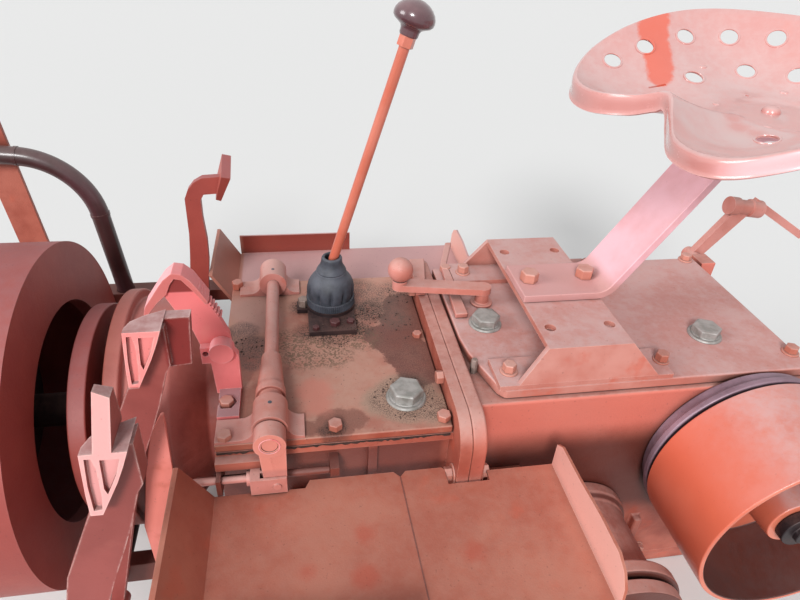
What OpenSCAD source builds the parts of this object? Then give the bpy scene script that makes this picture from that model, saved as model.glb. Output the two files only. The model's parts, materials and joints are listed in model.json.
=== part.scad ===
// Tractor transmission unit with its driver's station.
// Origin: on the ground under the seam between gearbox and rear housing.
// +X to the rear, +Y to the right-hand side, +Z up. Sizes in millimetres.

/* [Casings] */
// Height of the gearbox cover's top face
cover_top = 450; // [430:1:480]
// Length of the gearbox, from its front face to the seam
gearbox_len = 322; // [310:1:340]
// Half width of the gearbox walls
gearbox_half_w = 172; // [165:1:178]
// Height of the sump pan
sump_h = 62; // [50:1:70]
// Length of the rear housing, from the seam to its rear face
rear_len = 545; // [535:1:570]
// Half width of the rear housing walls
rear_half_w = 168; // [162:1:172]
// Thickness of the rear housing's flange at the seam
flange_t = 21; // [16:1:24]
// Thickness of the gearbox's flange at the seam
front_flange_t = 16; // [14:1:20]
// Half width of the casing flanges
flange_half_w = 225; // [222:1:228]
// Corner radius of the casing flanges
flange_corner_r = 46; // [30:1:60]
// How far the casing flanges stand above the gearbox cover
flange_rise = 28; // [20:1:32]

/* [Covers] */
// Thickness of the gearbox cover
cover_t = 12; // [10:1:16]
// Half width of the gearbox cover
cover_half_w = 187; // [184:1:192]
// Thickness of the rear housing cover
rear_cover_t = 16; // [12:1:18]
// Half width of the rear housing cover
rear_cover_half_w = 160; // [158:1:164]
// Height of the rear cover's top face above the gearbox cover
rear_cover_rise = 30; // [26:1:34]

/* [Front end] */
// Height of the input shaft above the ground
shaft_z = 358; // [352:1:364]
// Outer radius of the flywheel drum
flywheel_r = 251; // [240:1:256]
// Width of the flywheel drum
flywheel_w = 200; // [180:1:220]
// Radius of the opening in the flywheel's rear ring
flywheel_mouth_r = 164; // [155:1:172]
// Gap between the flywheel's rear ring and the bell housing's flange
flywheel_gap = 82; // [78:1:90]
// Radius of the input shaft
input_r = 25; // [22:1:28]
// Radius of the bell housing's flange
bell_flange_r = 176; // [172:1:180]
// Radius of the clutch cover disc behind the flywheel
clutch_disc_r = 156; // [148:1:160]

/* [Belt pulley] */
// Radius of the belt pulley
pulley_r = 150; // [140:1:152]
// Width of the belt pulley's rim
pulley_w = 141; // [130:1:150]
// Distance of the pulley's axis behind the seam
pulley_x = 439; // [436:1:446]
// Height of the pulley's axis
pulley_z = 346; // [344:1:352]
// Radius of the pulley's shaft
pulley_shaft_r = 20; // [18:1:23]

/* [Axle] */
// Distance of the axle behind the seam
axle_x = 200; // [195:1:205]
// Height of the axle
axle_z = 188; // [180:1:195]
// Radius of the axle trumpet
trumpet_r = 88; // [80:1:92]
// Distance of the trumpet's end face from the centre line
trumpet_end = 330; // [320:1:340]
// Radius of the axle shaft in its bearing
axle_shaft_r = 40; // [36:1:44]
// Radius of the wheel hub's flange
hub_r = 105; // [100:1:108]
// Pitch circle diameter of the wheel bolts
wheel_pcd = 160; // [150:1:170]
// Radius of a wheel bolt hole
wheel_hole_r = 9; // [8:0.5:10]

/* [Foot plates] */
// Height of the foot plates' treading face
plate_z = 390; // [388:1:394]
// Thickness of the foot plates
plate_t = 4; // [3:0.5:5]
// Distance of a foot plate's inner edge from the centre line
plate_in = 215; // [213:1:218]
// Distance of the near foot plate's outer edge from the centre line
near_plate_out = 420; // [410:1:430]
// Distance of the far foot plate's outer edge from the centre line
far_plate_out = 400; // [390:1:430]
// How far the foot plates reach behind the seam
plate_rear = 125; // [118:1:130]

/* [Seat] */
// Height of the seat bracket's top face above the gearbox cover
bracket_rise = 90; // [84:1:96]
// Half width of the seat bracket's top
bracket_half_w = 150; // [146:1:154]
// Thickness of the seat bracket's plate
bracket_t = 8; // [6:1:9]
// Width of the seat spring bar
spring_w = 88; // [80:1:96]
// Thickness of the seat spring bar
spring_t = 12; // [10:1:14]
// Slope of the seat spring bar
spring_deg = 58; // [57:0.5:59]
// Height of the seat pan's middle above the gearbox cover
seat_rise = 350; // [340:1:360]
// Distance of the seat bolt behind the seam
seat_x = 457; // [450:1:462]
// Thickness of the seat pan's sheet
seat_t = 5; // [4:0.5:6]
// Turn of the seat pan on its bolt
seat_turn = 3; // [0:0.5:4]
// Radius of the free holes in the seat bracket
bracket_hole_r = 8; // [7:0.5:9]

/* [Controls] */
// Distance of the pedal shaft in front of the seam
pedal_x = -500; // [-502:1:-496]
// Height of the pedal shaft
pedal_z = 150; // [146:1:152]
// Radius of the pedal shaft
pedal_shaft_r = 14; // [12:1:15]
// Outer radius of the pedal hubs
pedal_hub_r = 24; // [22:1:26]
// Distance of the cross shaft in front of the seam
cross_x = -252; // [-254:1:-248]
// Height of the cross shaft above the gearbox cover
cross_rise = 24; // [23:1:28]
// Radius of the cross shaft
cross_r = 10; // [9:1:11]
// Radius of the cross shaft's bearing bosses
cross_boss_r = 22; // [20:1:22]
// Lean of the gear lever towards the rear
lever_lean = 17; // [12:1:20]
// Length of the gear lever's rod
lever_len = 370; // [355:1:375]
// Radius of the gear lever's rod
lever_r = 7.5; // [7:0.5:9]
// Radius of the gear lever's knob
knob_r = 28; // [25:1:30]

/* [Hidden] */
$fn = 64;

// Clearances
fit_gap = 0.05; // radial running fit of a shaft in its bore
seat_gap = 0.3; // rest gap of rounded neighbours
end_gap = 0.5; // end play beside a hub
through = 500; // reach of a cut that goes right through

// Places worked out from the sizes
gearbox_front = -gearbox_len;
rear_cover_top = cover_top + rear_cover_rise;
bell_front = gearbox_front - 138;
flywheel_rear = bell_front - flywheel_gap;
flywheel_front = flywheel_rear - flywheel_w;
bracket_top = cover_top + bracket_rise;
cross_z = cover_top + cross_rise;
case_rim_z = cover_top - cover_t;
rod_r = 5; // of the two rods along the gearbox
rod_y_at = -gearbox_half_w - 31;
side_y = -gearbox_half_w - 20;
side_z = cover_top - 56;
side_end = -180;
pull_z = cover_top - 45;
rod_front = gearbox_front - 28;
rear_deck_z = rear_cover_top - rear_cover_t;
rear_wall = -rear_half_w;
pulley_flange_t = 29;
pulley_back = rear_wall - pulley_flange_t - 6;
pulley_hub_back = pulley_back - 12;
pulley_hub_front = pulley_back - pulley_w + 26;

// A box between two corners
module block(lo, hi) {
    translate(lo) cube(hi - lo);
}

// A cylinder along Y from y0 to y1
module rod_y(x, z, r, y0, y1) {
    translate([x, y0, z]) rotate([-90, 0, 0]) cylinder(r = r, h = y1 - y0);
}

// A cylinder along X from x0 to x1, on the centre line unless y is given
module rod_x(z, r, x0, x1, y = 0) {
    translate([x0, y, z]) rotate([0, 90, 0]) cylinder(r = r, h = x1 - x0);
}

// A plate of thickness t whose outline lies in the X-Z plane, centred on y
module plate_xz(outline, y, t) {
    translate([0, y + t / 2, 0]) rotate([90, 0, 0]) linear_extrude(t) polygon(outline);
}

// A plate whose outline lies in the Y-Z plane, from x0 to x1
module plate_yz(outline, x0, x1) {
    translate([x0, 0, 0]) rotate([90, 0, 90]) linear_extrude(x1 - x0) polygon(outline);
}

// Turns a profile of [radius, place] round the Y axis through x, z
module turned_y(x, z, profile) {
    translate([x, 0, z]) rotate([-90, 0, 0]) rotate_extrude($fn = 96) polygon(profile);
}

// Turns a profile of [radius, place] round the X axis at height z
module turned_x(z, profile) {
    translate([0, 0, z]) rotate([0, 90, 0]) rotate_extrude($fn = 96) polygon(profile);
}

// Both sides: the child as drawn, and mirrored over the centre line
module both_sides() {
    children();
    mirror([0, 1, 0]) children();
}

// Hexagon head or nut of a given width across flats, standing up from z
module hex_up(x, y, z, flats, h) {
    translate([x, y, z]) cylinder(r = flats / sqrt(3), h = h, $fn = 6);
}

/* Casings */

module casing_flange(x0, x1) {
    top = cover_top + flange_rise;
    low = sump_h + 30;
    r = flange_corner_r;
    block([x0, -flange_half_w, low + r], [x1, flange_half_w, top - r]);
    block([x0, r - flange_half_w, low], [x1, flange_half_w - r, top]);
    for (side = [-1, 1])
        for (z = [low + r, top - r])
            rod_x(z, r, x0, x1, side * (flange_half_w - r));
}

module sump_pan() {
    pan_half_w = gearbox_half_w - 22;
    color("firebrick") {
        block([gearbox_front + 22, -pan_half_w, 0], [rear_len - 45, pan_half_w, sump_h - 14]);
        block([gearbox_front, -gearbox_half_w + 6, sump_h - 14],
            [rear_len - 20, gearbox_half_w - 6, sump_h]);
    }
}

module gearbox_case() {
    rib_at = [-262, -122];
    rim_h = 13;
    guide_t = 6;
    color("firebrick") {
        block([gearbox_front, -gearbox_half_w, sump_h],
            [-front_flange_t, gearbox_half_w, case_rim_z]);
        block([gearbox_front, -cover_half_w, case_rim_z - rim_h],
            [-front_flange_t, cover_half_w, case_rim_z]);
        block([gearbox_front, side_y - 8, case_rim_z - 20],
            [-265, -gearbox_half_w, case_rim_z - 7]);
        block([side_end, side_y - 8, side_z - 10],
            [side_end + 12, -gearbox_half_w, side_z + 10]);
        casing_flange(-front_flange_t, 0);
        for (x = rib_at)
            both_sides() block([x - 6, gearbox_half_w, sump_h + 40],
                [x + 6, gearbox_half_w + 10, case_rim_z - rim_h]);
        difference() {
            block([gearbox_front, rod_y_at - 10, side_z - 9],
                [gearbox_front + guide_t, -gearbox_half_w, pull_z + 9]);
            for (at = [[side_y, side_z], [rod_y_at, pull_z]])
                rod_x(at[1], rod_r + fit_gap, gearbox_front - 1, gearbox_front + guide_t + 1,
                    at[0]);
        }
    }
}

module gearbox_cover() {
    back = -front_flange_t - 1;
    color("indianred") block([gearbox_front, -cover_half_w, case_rim_z],
        [back, cover_half_w, cover_top]);
}

module cover_plug() {
    color("silver") {
        translate([-70, -126, cover_top]) cylinder(r = 28, h = 4);
        hex_up(-70, -126, cover_top + 4, 41, 14);
    }
}

module bell_housing() {
    body_r = bell_flange_r - 14;
    neck_r = 110;
    wall = 16;
    flange_back = bell_front + 20;
    color("firebrick") turned_x(shaft_z, [[input_r + fit_gap, gearbox_front],
        [neck_r, gearbox_front], [neck_r, gearbox_front - 20], [body_r, gearbox_front - 60],
        [body_r, flange_back], [bell_flange_r, flange_back], [bell_flange_r, bell_front],
        [body_r - wall, bell_front], [body_r - wall, gearbox_front - 66],
        [neck_r - wall, gearbox_front - 26], [input_r + fit_gap, gearbox_front - 26]]);
}

module input_shaft() {
    color("dimgray") turned_x(shaft_z, [[0, flywheel_front - 75], [22, flywheel_front - 75],
        [22, flywheel_front - 22], [38, flywheel_front - 22],
        [38, flywheel_front - end_gap], [input_r, flywheel_front - end_gap],
        [input_r, flywheel_front + 100 + end_gap], [36, flywheel_front + 100 + end_gap],
        [36, flywheel_front + 116], [input_r, flywheel_front + 116],
        [input_r, gearbox_front], [0, gearbox_front]]);
}

module clutch_disc() {
    front = bell_front - 48;
    back = bell_front - 25;
    color("brown") turned_x(shaft_z, [[input_r + fit_gap, front - 12], [48, front - 12],
        [48, front], [clutch_disc_r, front], [clutch_disc_r, back], [60, back],
        [60, bell_front + 10], [input_r + fit_gap, bell_front + 10]]);
}

module flywheel() {
    rim_t = 22;
    web_t = 24;
    ring_t = 22;
    hub_end = flywheel_front + 100;
    color("indianred") difference() {
        turned_x(shaft_z, [[input_r + fit_gap, flywheel_front],
            [flywheel_r, flywheel_front], [flywheel_r, flywheel_rear],
            [flywheel_mouth_r, flywheel_rear], [flywheel_mouth_r, flywheel_rear - ring_t],
            [flywheel_r - rim_t, flywheel_rear - ring_t],
            [flywheel_r - rim_t, flywheel_front + web_t], [58, flywheel_front + web_t],
            [58, hub_end], [input_r + fit_gap, hub_end]]);
        for (turn = [0 : 60 : 300])
            translate([flywheel_front - 1, 0, shaft_z]) rotate([turn, 0, 0])
                translate([0, 0, 45]) rotate([0, 90, 0]) cylinder(r = 5.5, h = 30);
    }
}

module clutch_drum() {
    color("dimgray") turned_x(shaft_z, [[66, flywheel_front + 24], [150, flywheel_front + 24],
        [150, flywheel_front + 70], [132, flywheel_front + 78], [132, flywheel_front + 96],
        [66, flywheel_front + 96]]);
}

module rear_housing() {
    color("firebrick") {
        block([flange_t, -rear_half_w, sump_h], [rear_len, rear_half_w, rear_deck_z]);
        casing_flange(0, flange_t);
        both_sides() for (x = [axle_x + 130, rear_len - 45])
            block([x - 7, rear_half_w, sump_h + 60], [x + 7, rear_half_w + 14, sump_h + 120]);
    }
}

module rear_cover() {
    front = flange_t + 3;
    back = rear_len - 15;
    w = rear_cover_half_w;
    color("indianred") translate([0, 0, rear_deck_z]) linear_extrude(rear_cover_t)
        polygon([[front, 120 - w], [front, w], [back, w], [back, -w], [front + 36, -w],
            [front + 27, 10 - w], [front + 5, 83 - w]]);
}

module rear_plugs() {
    color("silver") for (at = [[73, -8], [411, -69]]) {
        translate([at[0], at[1], rear_cover_top]) cylinder(r = 26, h = 4);
        hex_up(at[0], at[1], rear_cover_top + 4, 38, 12);
    }
}

module pulley_housing() {
    neck_r = 140;
    neck_w = 18;
    face = rear_wall - pulley_flange_t;
    flange_r = pulley_r - 2;
    color("dimgray") turned_y(pulley_x, pulley_z, [[pulley_shaft_r + fit_gap, rear_wall],
        [neck_r, rear_wall], [neck_r, rear_wall - neck_w], [flange_r, rear_wall - neck_w],
        [flange_r, face], [pulley_shaft_r + fit_gap, face]]);
}

module pulley_shaft() {
    r = pulley_shaft_r;
    collar_r = 30;
    nut_r = 28;
    end_r = 14;
    collar_start = rear_wall - pulley_flange_t - 1;
    nut_start = pulley_hub_front - end_gap;
    nut_end = nut_start - 14;
    color("dimgray") turned_y(pulley_x, pulley_z, [[0, rear_wall], [r, rear_wall],
        [r, collar_start], [collar_r, collar_start], [collar_r, pulley_hub_back + end_gap],
        [r, pulley_hub_back + end_gap], [r, nut_start], [nut_r, nut_start],
        [nut_r, nut_end], [end_r, nut_end], [end_r, nut_end - 8], [0, nut_end - 8]]);
}

module belt_pulley() {
    rim_t = 7;
    web_t = 14;
    hub_r = 38;
    step_r = pulley_r - 12;
    web_front = pulley_hub_back - web_t;
    bore = pulley_shaft_r + fit_gap;
    front = pulley_back - pulley_w;
    color("tomato") turned_y(pulley_x, pulley_z, [[bore, pulley_hub_back],
        [step_r, pulley_hub_back], [step_r, pulley_back], [pulley_r, pulley_back],
        [pulley_r, front], [pulley_r - rim_t, front], [pulley_r - rim_t, web_front],
        [hub_r + 6, web_front], [hub_r, pulley_hub_front], [bore, pulley_hub_front]]);
}

module trumpet() {
    wall = -rear_half_w;
    color("firebrick") turned_y(axle_x, axle_z, [[axle_shaft_r + fit_gap, wall],
        [96, wall], [96, wall - 20], [trumpet_r, wall - 28],
        [trumpet_r, 24 - trumpet_end], [110, 20 - trumpet_end], [110, -trumpet_end],
        [axle_shaft_r + fit_gap, -trumpet_end]]);
}

module near_trumpet() {
    trumpet();
}

module far_trumpet() {
    mirror([0, 1, 0]) trumpet();
}

module wheel_hub() {
    face = -trumpet_end - 6;
    color("indianred") difference() {
        turned_y(axle_x, axle_z, [[0, -rear_half_w - 4], [axle_shaft_r, -rear_half_w - 4],
            [axle_shaft_r, face], [hub_r, face], [hub_r, face - 20], [56, face - 20],
            [50, face - 52], [0, face - 52]]);
        for (turn = [0 : 60 : 300])
            translate([axle_x, face + 1, axle_z]) rotate([0, turn, 0])
                translate([0, 0, wheel_pcd / 2]) rotate([90, 0, 0])
                    cylinder(r = wheel_hole_r, h = 40);
    }
}

module near_hub() {
    wheel_hub();
}

module far_hub() {
    mirror([0, 1, 0]) wheel_hub();
}

power_z = 240;
power_bearing_r = 20;
power_end_r = 17.5;
power_cap_end = rear_len + 40;

module power_shaft_cap() {
    bore = power_bearing_r + fit_gap;
    color("firebrick") turned_x(power_z, [[bore, rear_len], [80, rear_len],
        [80, rear_len + 16], [46, rear_len + 22], [46, power_cap_end], [bore, power_cap_end]]);
}

module power_shaft() {
    start = rear_len + end_gap;
    step = power_cap_end + 10;
    end = step + 68;
    color("dimgray") turned_x(power_z, [[0, start], [power_bearing_r, start],
        [power_bearing_r, step], [power_end_r, step], [power_end_r, end], [0, end]]);
}

module drawbar() {
    eye_x = rear_len + 130;
    color("firebrick") difference() {
        union() {
            block([rear_len, -60, sump_h + 30], [rear_len + 16, 60, sump_h + 90]);
            block([rear_len + 16, -30, sump_h + 48], [eye_x, 30, sump_h + 72]);
            translate([eye_x, 0, sump_h + 48]) cylinder(r = 30, h = 24);
        }
        translate([eye_x, 0, sump_h]) cylinder(r = 13, h = 120);
    }
}

/* Seat */

module seat_bracket() {
    top_front = 113;
    top_rear = 234;
    foot_front = 50;
    foot_rear = 304;
    foot_z = rear_cover_top + bracket_t;
    low_y = -rear_cover_half_w;
    color("salmon") difference() {
        union() {
            block([top_front, -bracket_half_w, bracket_top - bracket_t],
                [top_rear, bracket_half_w, bracket_top]);
            both_sides() {
                block([foot_front, low_y, rear_cover_top], [foot_rear, low_y + 58, foot_z]);
                intersection() {
                    plate_yz([[low_y, foot_z - 1], [low_y + bracket_t, foot_z - 1],
                        [bracket_t - bracket_half_w, bracket_top - 1],
                        [-bracket_half_w, bracket_top - 1]], foot_front, foot_rear);
                    plate_xz([[foot_front + 26, foot_z - 2], [foot_rear - 22, foot_z - 2],
                        [top_rear, bracket_top], [top_front, bracket_top]], low_y, 80);
                }
            }
        }
        for (x = [131, 219])
            for (y = [-105, 105])
                translate([x, y, bracket_top - 20]) cylinder(r = bracket_hole_r, h = 40);
    }
}

// Points of an arc round cx, cz
function arc_points(cx, cz, r, a0, a1, n) =
    [for (i = [0 : n]) [cx + r * cos(a0 + (a1 - a0) * i / n),
        cz + r * sin(a0 + (a1 - a0) * i / n)]];

seat_z = cover_top + seat_rise;
spring_front_x = 113;
spring_bend_x = 226;
spring_in_r = 24;
spring_lug_len = 76;
spring_out_r = spring_in_r + spring_t;
seat_pad_h = 3; // round pad between the spring's lug and the seat pan
spring_lug_top = seat_z - seat_t - seat_gap - seat_pad_h;
spring_low_c = [spring_bend_x, bracket_top + spring_out_r];
spring_top_z = spring_lug_top - spring_out_r;
spring_climb = spring_top_z - spring_low_c[1] + (spring_in_r + spring_out_r) * cos(spring_deg);
spring_top_c = [spring_bend_x + (spring_in_r + spring_out_r) * sin(spring_deg)
    + spring_climb / tan(spring_deg), spring_top_z];

module seat_spring() {
    lug_end = spring_top_c[0] + spring_lug_len;
    outline = concat([[spring_front_x, bracket_top]],
        arc_points(spring_low_c[0], spring_low_c[1], spring_out_r, -90, spring_deg - 90, 10),
        arc_points(spring_top_c[0], spring_top_z, spring_in_r, spring_deg + 90, 90, 8),
        [[lug_end, spring_lug_top - spring_t], [lug_end, spring_lug_top]],
        arc_points(spring_top_c[0], spring_top_z, spring_out_r, 90, spring_deg + 90, 8),
        arc_points(spring_low_c[0], spring_low_c[1], spring_in_r, spring_deg - 90, -90, 10),
        [[spring_front_x, bracket_top + spring_t]]);
    color("lightpink") {
        plate_xz(outline, 0, spring_w);
        translate([seat_x, 0, spring_lug_top - 1]) cylinder(r = 28, h = seat_pad_h + 1);
    }
}

// Rim of the seat pan, one half: [turn from the rear, distance from the bolt,
// height over the pan's middle]
seat_rim = [[0, 150, 98], [60, 198, 98], [92, 235, 90], [116, 256, 62], [130, 279, 30],
    [143, 282, 4], [156, 254, -2], [168, 208, 10], [180, 184, 26]];
seat_flat_r = 62;
seat_rings = 12;
seat_sectors = 72;
lip_steps = [[3, -2], [5, -7], [5, -13], [3, -19]]; // outwards and down from the rim

// Rim value in column c at a turn a, smooth through the table's rows
function rim_row(i) = let (last = len(seat_rim) - 1)
    i < 0 ? [-seat_rim[-i][0], seat_rim[-i][1], seat_rim[-i][2]]
    : i > last ? let (m = seat_rim[2 * last - i]) [360 - m[0], m[1], m[2]] : seat_rim[i];
function rim_at(a, c) = let (i = max([for (k = [0 : len(seat_rim) - 2])
        seat_rim[k][0] <= a ? k : 0]),
    p = rim_row(i - 1), q = rim_row(i), r = rim_row(i + 1), t = rim_row(i + 2),
    h = r[0] - q[0], u = (a - q[0]) / h,
    m0 = (r[c] - p[c]) / (r[0] - p[0]) * h, m1 = (t[c] - q[c]) / (t[0] - q[0]) * h)
    (2 * pow(u, 3) - 3 * u * u + 1) * q[c] + (pow(u, 3) - 2 * u * u + u) * m0
    + (3 * u * u - 2 * pow(u, 3)) * r[c] + (pow(u, 3) - u * u) * m1;

// Height of the pan at a turn a and a share s of the way to the rim
function pan_rise(s, a) = let (flat = seat_flat_r / rim_at(a, 1),
    k = max(0, (s - flat) / (1 - flat)), lobe = exp(-pow((a - 148) / 26, 2)),
    ridge = exp(-pow((a - 180) / 14, 2)), rim = rim_at(a, 2))
    rim * pow(k, 1.9) - 64 * lobe * k * (1 - k) + 0.6 * rim * ridge * (k - pow(k, 1.9));

// Point i of the section from the bolt over the rim to the lip, at a turn a
function pan_point(i, a, drop) = let (lip = i > seat_rings ? lip_steps[i - seat_rings - 1] : [0, 0],
    s = min(i / seat_rings, 1), inset = i > seat_rings ? drop : 0,
    r = s * rim_at(abs(a), 1) + lip[0] - inset)
    [seat_x + r * cos(a + seat_turn), r * sin(a + seat_turn),
        seat_z + pan_rise(s, abs(a)) + lip[1] - (i > seat_rings + 1 ? 0 : drop)];

module seat_pan() {
    step = 360 / seat_sectors;
    rows = seat_rings + len(lip_steps);
    ring = [for (drop = [seat_t, 0]) for (i = [1 : rows])
        for (k = [0 : seat_sectors - 1]) pan_point(i, k * step - 180, drop)];
    hubs = [pan_point(0, 0, seat_t), pan_point(0, 0, 0)];
    layer = rows * seat_sectors;
    low_hub = 2 * layer;
    function at(side, i, k) = side * layer + (i - 1) * seat_sectors + k % seat_sectors;
    low_faces = [for (i = [1 : rows - 1]) for (k = [0 : seat_sectors - 1])
        each [[at(0, i, k), at(0, i, k + 1), at(0, i + 1, k + 1)],
            [at(0, i, k), at(0, i + 1, k + 1), at(0, i + 1, k)]]];
    top_faces = [for (i = [1 : rows - 1]) for (k = [0 : seat_sectors - 1])
        each [[at(1, i, k), at(1, i + 1, k + 1), at(1, i, k + 1)],
            [at(1, i, k), at(1, i + 1, k), at(1, i + 1, k + 1)]]];
    rim_faces = [for (k = [0 : seat_sectors - 1])
        each [[at(0, rows, k), at(0, rows, k + 1), at(1, rows, k + 1)],
            [at(0, rows, k), at(1, rows, k + 1), at(1, rows, k)]]];
    hub_faces = [for (k = [0 : seat_sectors - 1])
        each [[low_hub, at(0, 1, k + 1), at(0, 1, k)],
            [low_hub + 1, at(1, 1, k), at(1, 1, k + 1)]]];
    color("lightpink")
        polyhedron(concat(ring, hubs), concat(low_faces, top_faces, rim_faces, hub_faces));
}

/* Cross shaft */

module cross_shaft() {
    color("salmon") turned_y(cross_x, cross_z, [[0, arm_y - 4], [cross_r, arm_y - 4],
        [cross_r, -145.6], [15, -145.5], [15, -132], [19.4, -132],
        [19.4, -119], [18, -117], [13.4, -51], [cross_r, -50],
        [cross_r, 188], [0, 188]]);
}

module bearing(y0, y1, foot_x0, foot_x1, foot_y0, foot_y1) {
    foot_t = 5;
    skirt_r = 18;
    skirt_x = cross_boss_r + skirt_r - 1.5;
    skirt_z = cover_top + foot_t + skirt_r;
    difference() {
        union() {
            rod_y(cross_x, cross_z, cross_boss_r, y0, y1);
            difference() {
                block([cross_x - skirt_x, foot_y0, cover_top + 1],
                    [cross_x + skirt_x, foot_y1, skirt_z - 2]);
                for (side = [-1, 1])
                    rod_y(cross_x + side * skirt_x, skirt_z, skirt_r, foot_y0 - 1, foot_y1 + 1);
            }
            block([foot_x0, foot_y0, cover_top], [foot_x1, foot_y1, cover_top + foot_t]);
        }
        rod_y(cross_x, cross_z, cross_r + fit_gap, -through, through);
    }
}

module near_bearing() {
    color("salmon") bearing(-190, -146, gearbox_front + 1, cross_x + 42, -186, -147);
}

module far_bearing() {
    color("salmon") bearing(138, 187, gearbox_front + 14, cross_x + 43, 142, 183);
}

arm_y = -gearbox_half_w - 40;
pin_x = cross_x + 5;
pin_r = 5;

module cross_arm() {
    arm_boss_r = 19.5;
    color("salmon") difference() {
        union() {
            rod_y(cross_x, cross_z, arm_boss_r, arm_y - 5, arm_y + 19);
            plate_xz([[cross_x - 14, cross_z - 12], [cross_x + 19, cross_z - 4],
                [pin_x + 12, pull_z - 9], [pin_x - 15, pull_z - 9]], arm_y, 8);
        }
        rod_y(cross_x, cross_z, cross_r + fit_gap, -through, through);
        rod_y(pin_x, pull_z, pin_r + fit_gap, -through, 0);
    }
}

module side_rod() {
    color("firebrick") rod_x(side_z, rod_r, rod_front, side_end, side_y);
}

module pull_rod() {
    head_x = pin_x - 21;
    ear_x = pin_x + 12;
    head_t = 12;
    ear_h = 13;
    color("salmon") {
        rod_x(pull_z, rod_r, rod_front, head_x - head_t, rod_y_at);
        rod_x(pull_z, 10, head_x - head_t - 5, head_x - head_t, rod_y_at);
        for (y = [arm_y - 8, arm_y + 4.3])
            block([head_x, y, pull_z - ear_h], [ear_x, y + 3.7, pull_z + ear_h]);
        block([head_x - head_t, arm_y - 8, pull_z - ear_h],
            [head_x, rod_y_at + rod_r, pull_z + ear_h]);
        rod_y(pin_x, pull_z, pin_r, arm_y - 10, arm_y + 9);
    }
}

/* Gear lever */

lever_x = -159;
lever_y = 98;
boot_h = 86;

module lever_base() {
    color("gray") {
        block([-197, 23, cover_top], [-123, lever_y + 42, cover_top + 8]);
        block([-214, lever_y - 12, cover_top], [-196, lever_y + 12, cover_top + 8]);
        translate([lever_x, lever_y, cover_top + 8]) cylinder(r = 40, h = 6);
    }
}

module lever_boot() {
    base = cover_top + 14;
    color("darkslategray") translate([lever_x, lever_y, base])
        rotate_extrude() polygon([[0, 0], [39, 0], [40, 14], [38, 26], [36, 42], [24, 56],
            [14, 63], [12, boot_h - 20], [0, boot_h - 20]]);
}

module gear_lever() {
    color("tomato") translate([lever_x + 2, lever_y, cover_top + boot_h - 3])
        rotate([0, lever_lean, 0]) {
            cylinder(r = lever_r, h = lever_len - 28);
            translate([0, 0, lever_len - 28]) cylinder(r = 11.5, h = 14, $fn = 6);
        }
}

module gear_knob() {
    color("saddlebrown") translate([lever_x + 2, lever_y, cover_top + boot_h - 3])
        rotate([0, lever_lean, 0]) translate([0, 0, lever_len - 14])
            rotate_extrude() polygon([[0, 0], [12, 0], [13, 10], [24, 15], [knob_r, 24],
                [24, 36], [14, 43], [0, 45]]);
}

/* Drive lever and its gate */

drive_x = 82;
drive_y = 48;

module drive_pivot() {
    color("firebrick") {
        translate([drive_x, drive_y, rear_cover_top]) cylinder(r = 18, h = 4);
        translate([drive_x, drive_y, rear_cover_top + 4]) cylinder(r = 11, h = 17);
    }
}

module drive_lever() {
    base = rear_cover_top + 21;
    tip = [-50, 71];
    reach = norm(tip - [drive_x, drive_y]);
    turn = atan2(tip[1] - drive_y, tip[0] - drive_x);
    color("salmon") translate([drive_x, drive_y, base]) rotate([0, 0, turn]) {
        cylinder(r = 13, h = 11);
        block([0, -12, 0], [reach, 12, 11]);
        translate([reach, 0, 0]) cylinder(r = 12, h = 16);
        translate([reach, 0, 34]) sphere(r = 20);
    }
}

module drive_gate() {
    strip_t = 9;
    color("salmon") {
        translate([0, 0, rear_cover_top]) linear_extrude(strip_t)
            polygon([[29, 8], [49.5, 8], [49.5, 162], [76, 236], [64, 236], [38, 160]]);
        translate([0, 0, cover_top + flange_rise]) linear_extrude(strip_t)
            polygon([[-20, 79], [-4, 79], [14, 185], [-13, 185]]);
    }
}

/* Foot plates */

module foot_plate(plate_out) {
    toe_x = -325;
    toe_top_x = -362;
    toe_z = cover_top;
    low = plate_z - plate_t;
    notch = 28;
    near_edge = gearbox_half_w + 31;
    color("salmon") {
        translate([0, 0, low]) linear_extrude(plate_t) polygon([[toe_x, -plate_in],
            [-213, -plate_in], [-207, -near_edge], [-97, -near_edge], [-89, -near_edge - 9],
            [-81, -near_edge], [-notch - 4, -near_edge], [-notch, -near_edge - 4],
            [-notch, -flange_half_w - 6], [notch, -flange_half_w - 6], [notch, -plate_in],
            [plate_rear, -plate_in], [plate_rear, -plate_out], [toe_x, -plate_out]]);
        translate([0, -plate_in, 0]) rotate([90, 0, 0]) linear_extrude(plate_out - plate_in - 8)
            polygon([[toe_x, low], [toe_x, plate_z], [toe_top_x + 2, toe_z],
                [toe_top_x - plate_t, toe_z], [toe_x - plate_t, low]]);
        block([toe_x, -plate_out, plate_z], [-100, plate_t - plate_out, plate_z + 40]);
        plate_yz([[-plate_in, plate_z], [-plate_in, plate_z + 38], [-228, plate_z + 47],
            [-280, plate_z + 49], [81 - plate_out, plate_z + 55], [34 - plate_out, plate_z + 55],
            [17 - plate_out, plate_z + 46], [6 - plate_out, plate_z + 30],
            [2 - plate_out, plate_z]], plate_rear - plate_t, plate_rear);
        for (at = [[-210, gearbox_half_w], [70, rear_half_w]]) {
            plate_yz([[20 - plate_out, low], [-plate_in - 4, low], [-at[1] - 6, low - 56],
                [-at[1] - 6, low - 86], [20 - plate_out, low - 34]], at[0], at[0] + 8);
            block([at[0] - 22, -at[1] - 12, low - 90], [at[0] + 30, -at[1], low - 50]);
        }
    }
}

module near_foot_plate() {
    foot_plate(near_plate_out);
}

module far_foot_plate() {
    mirror([0, 1, 0]) foot_plate(far_plate_out);
}

/* Pedals */

pedal_hub_w = 38;
near_pedal_front = -222; // near face of the inner of the two near pedals
pedal_pitch = 155; // from the inner to the outer near pedal
outer_pedal_front = near_pedal_front - pedal_pitch;
far_pedal_y = 236;

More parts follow.
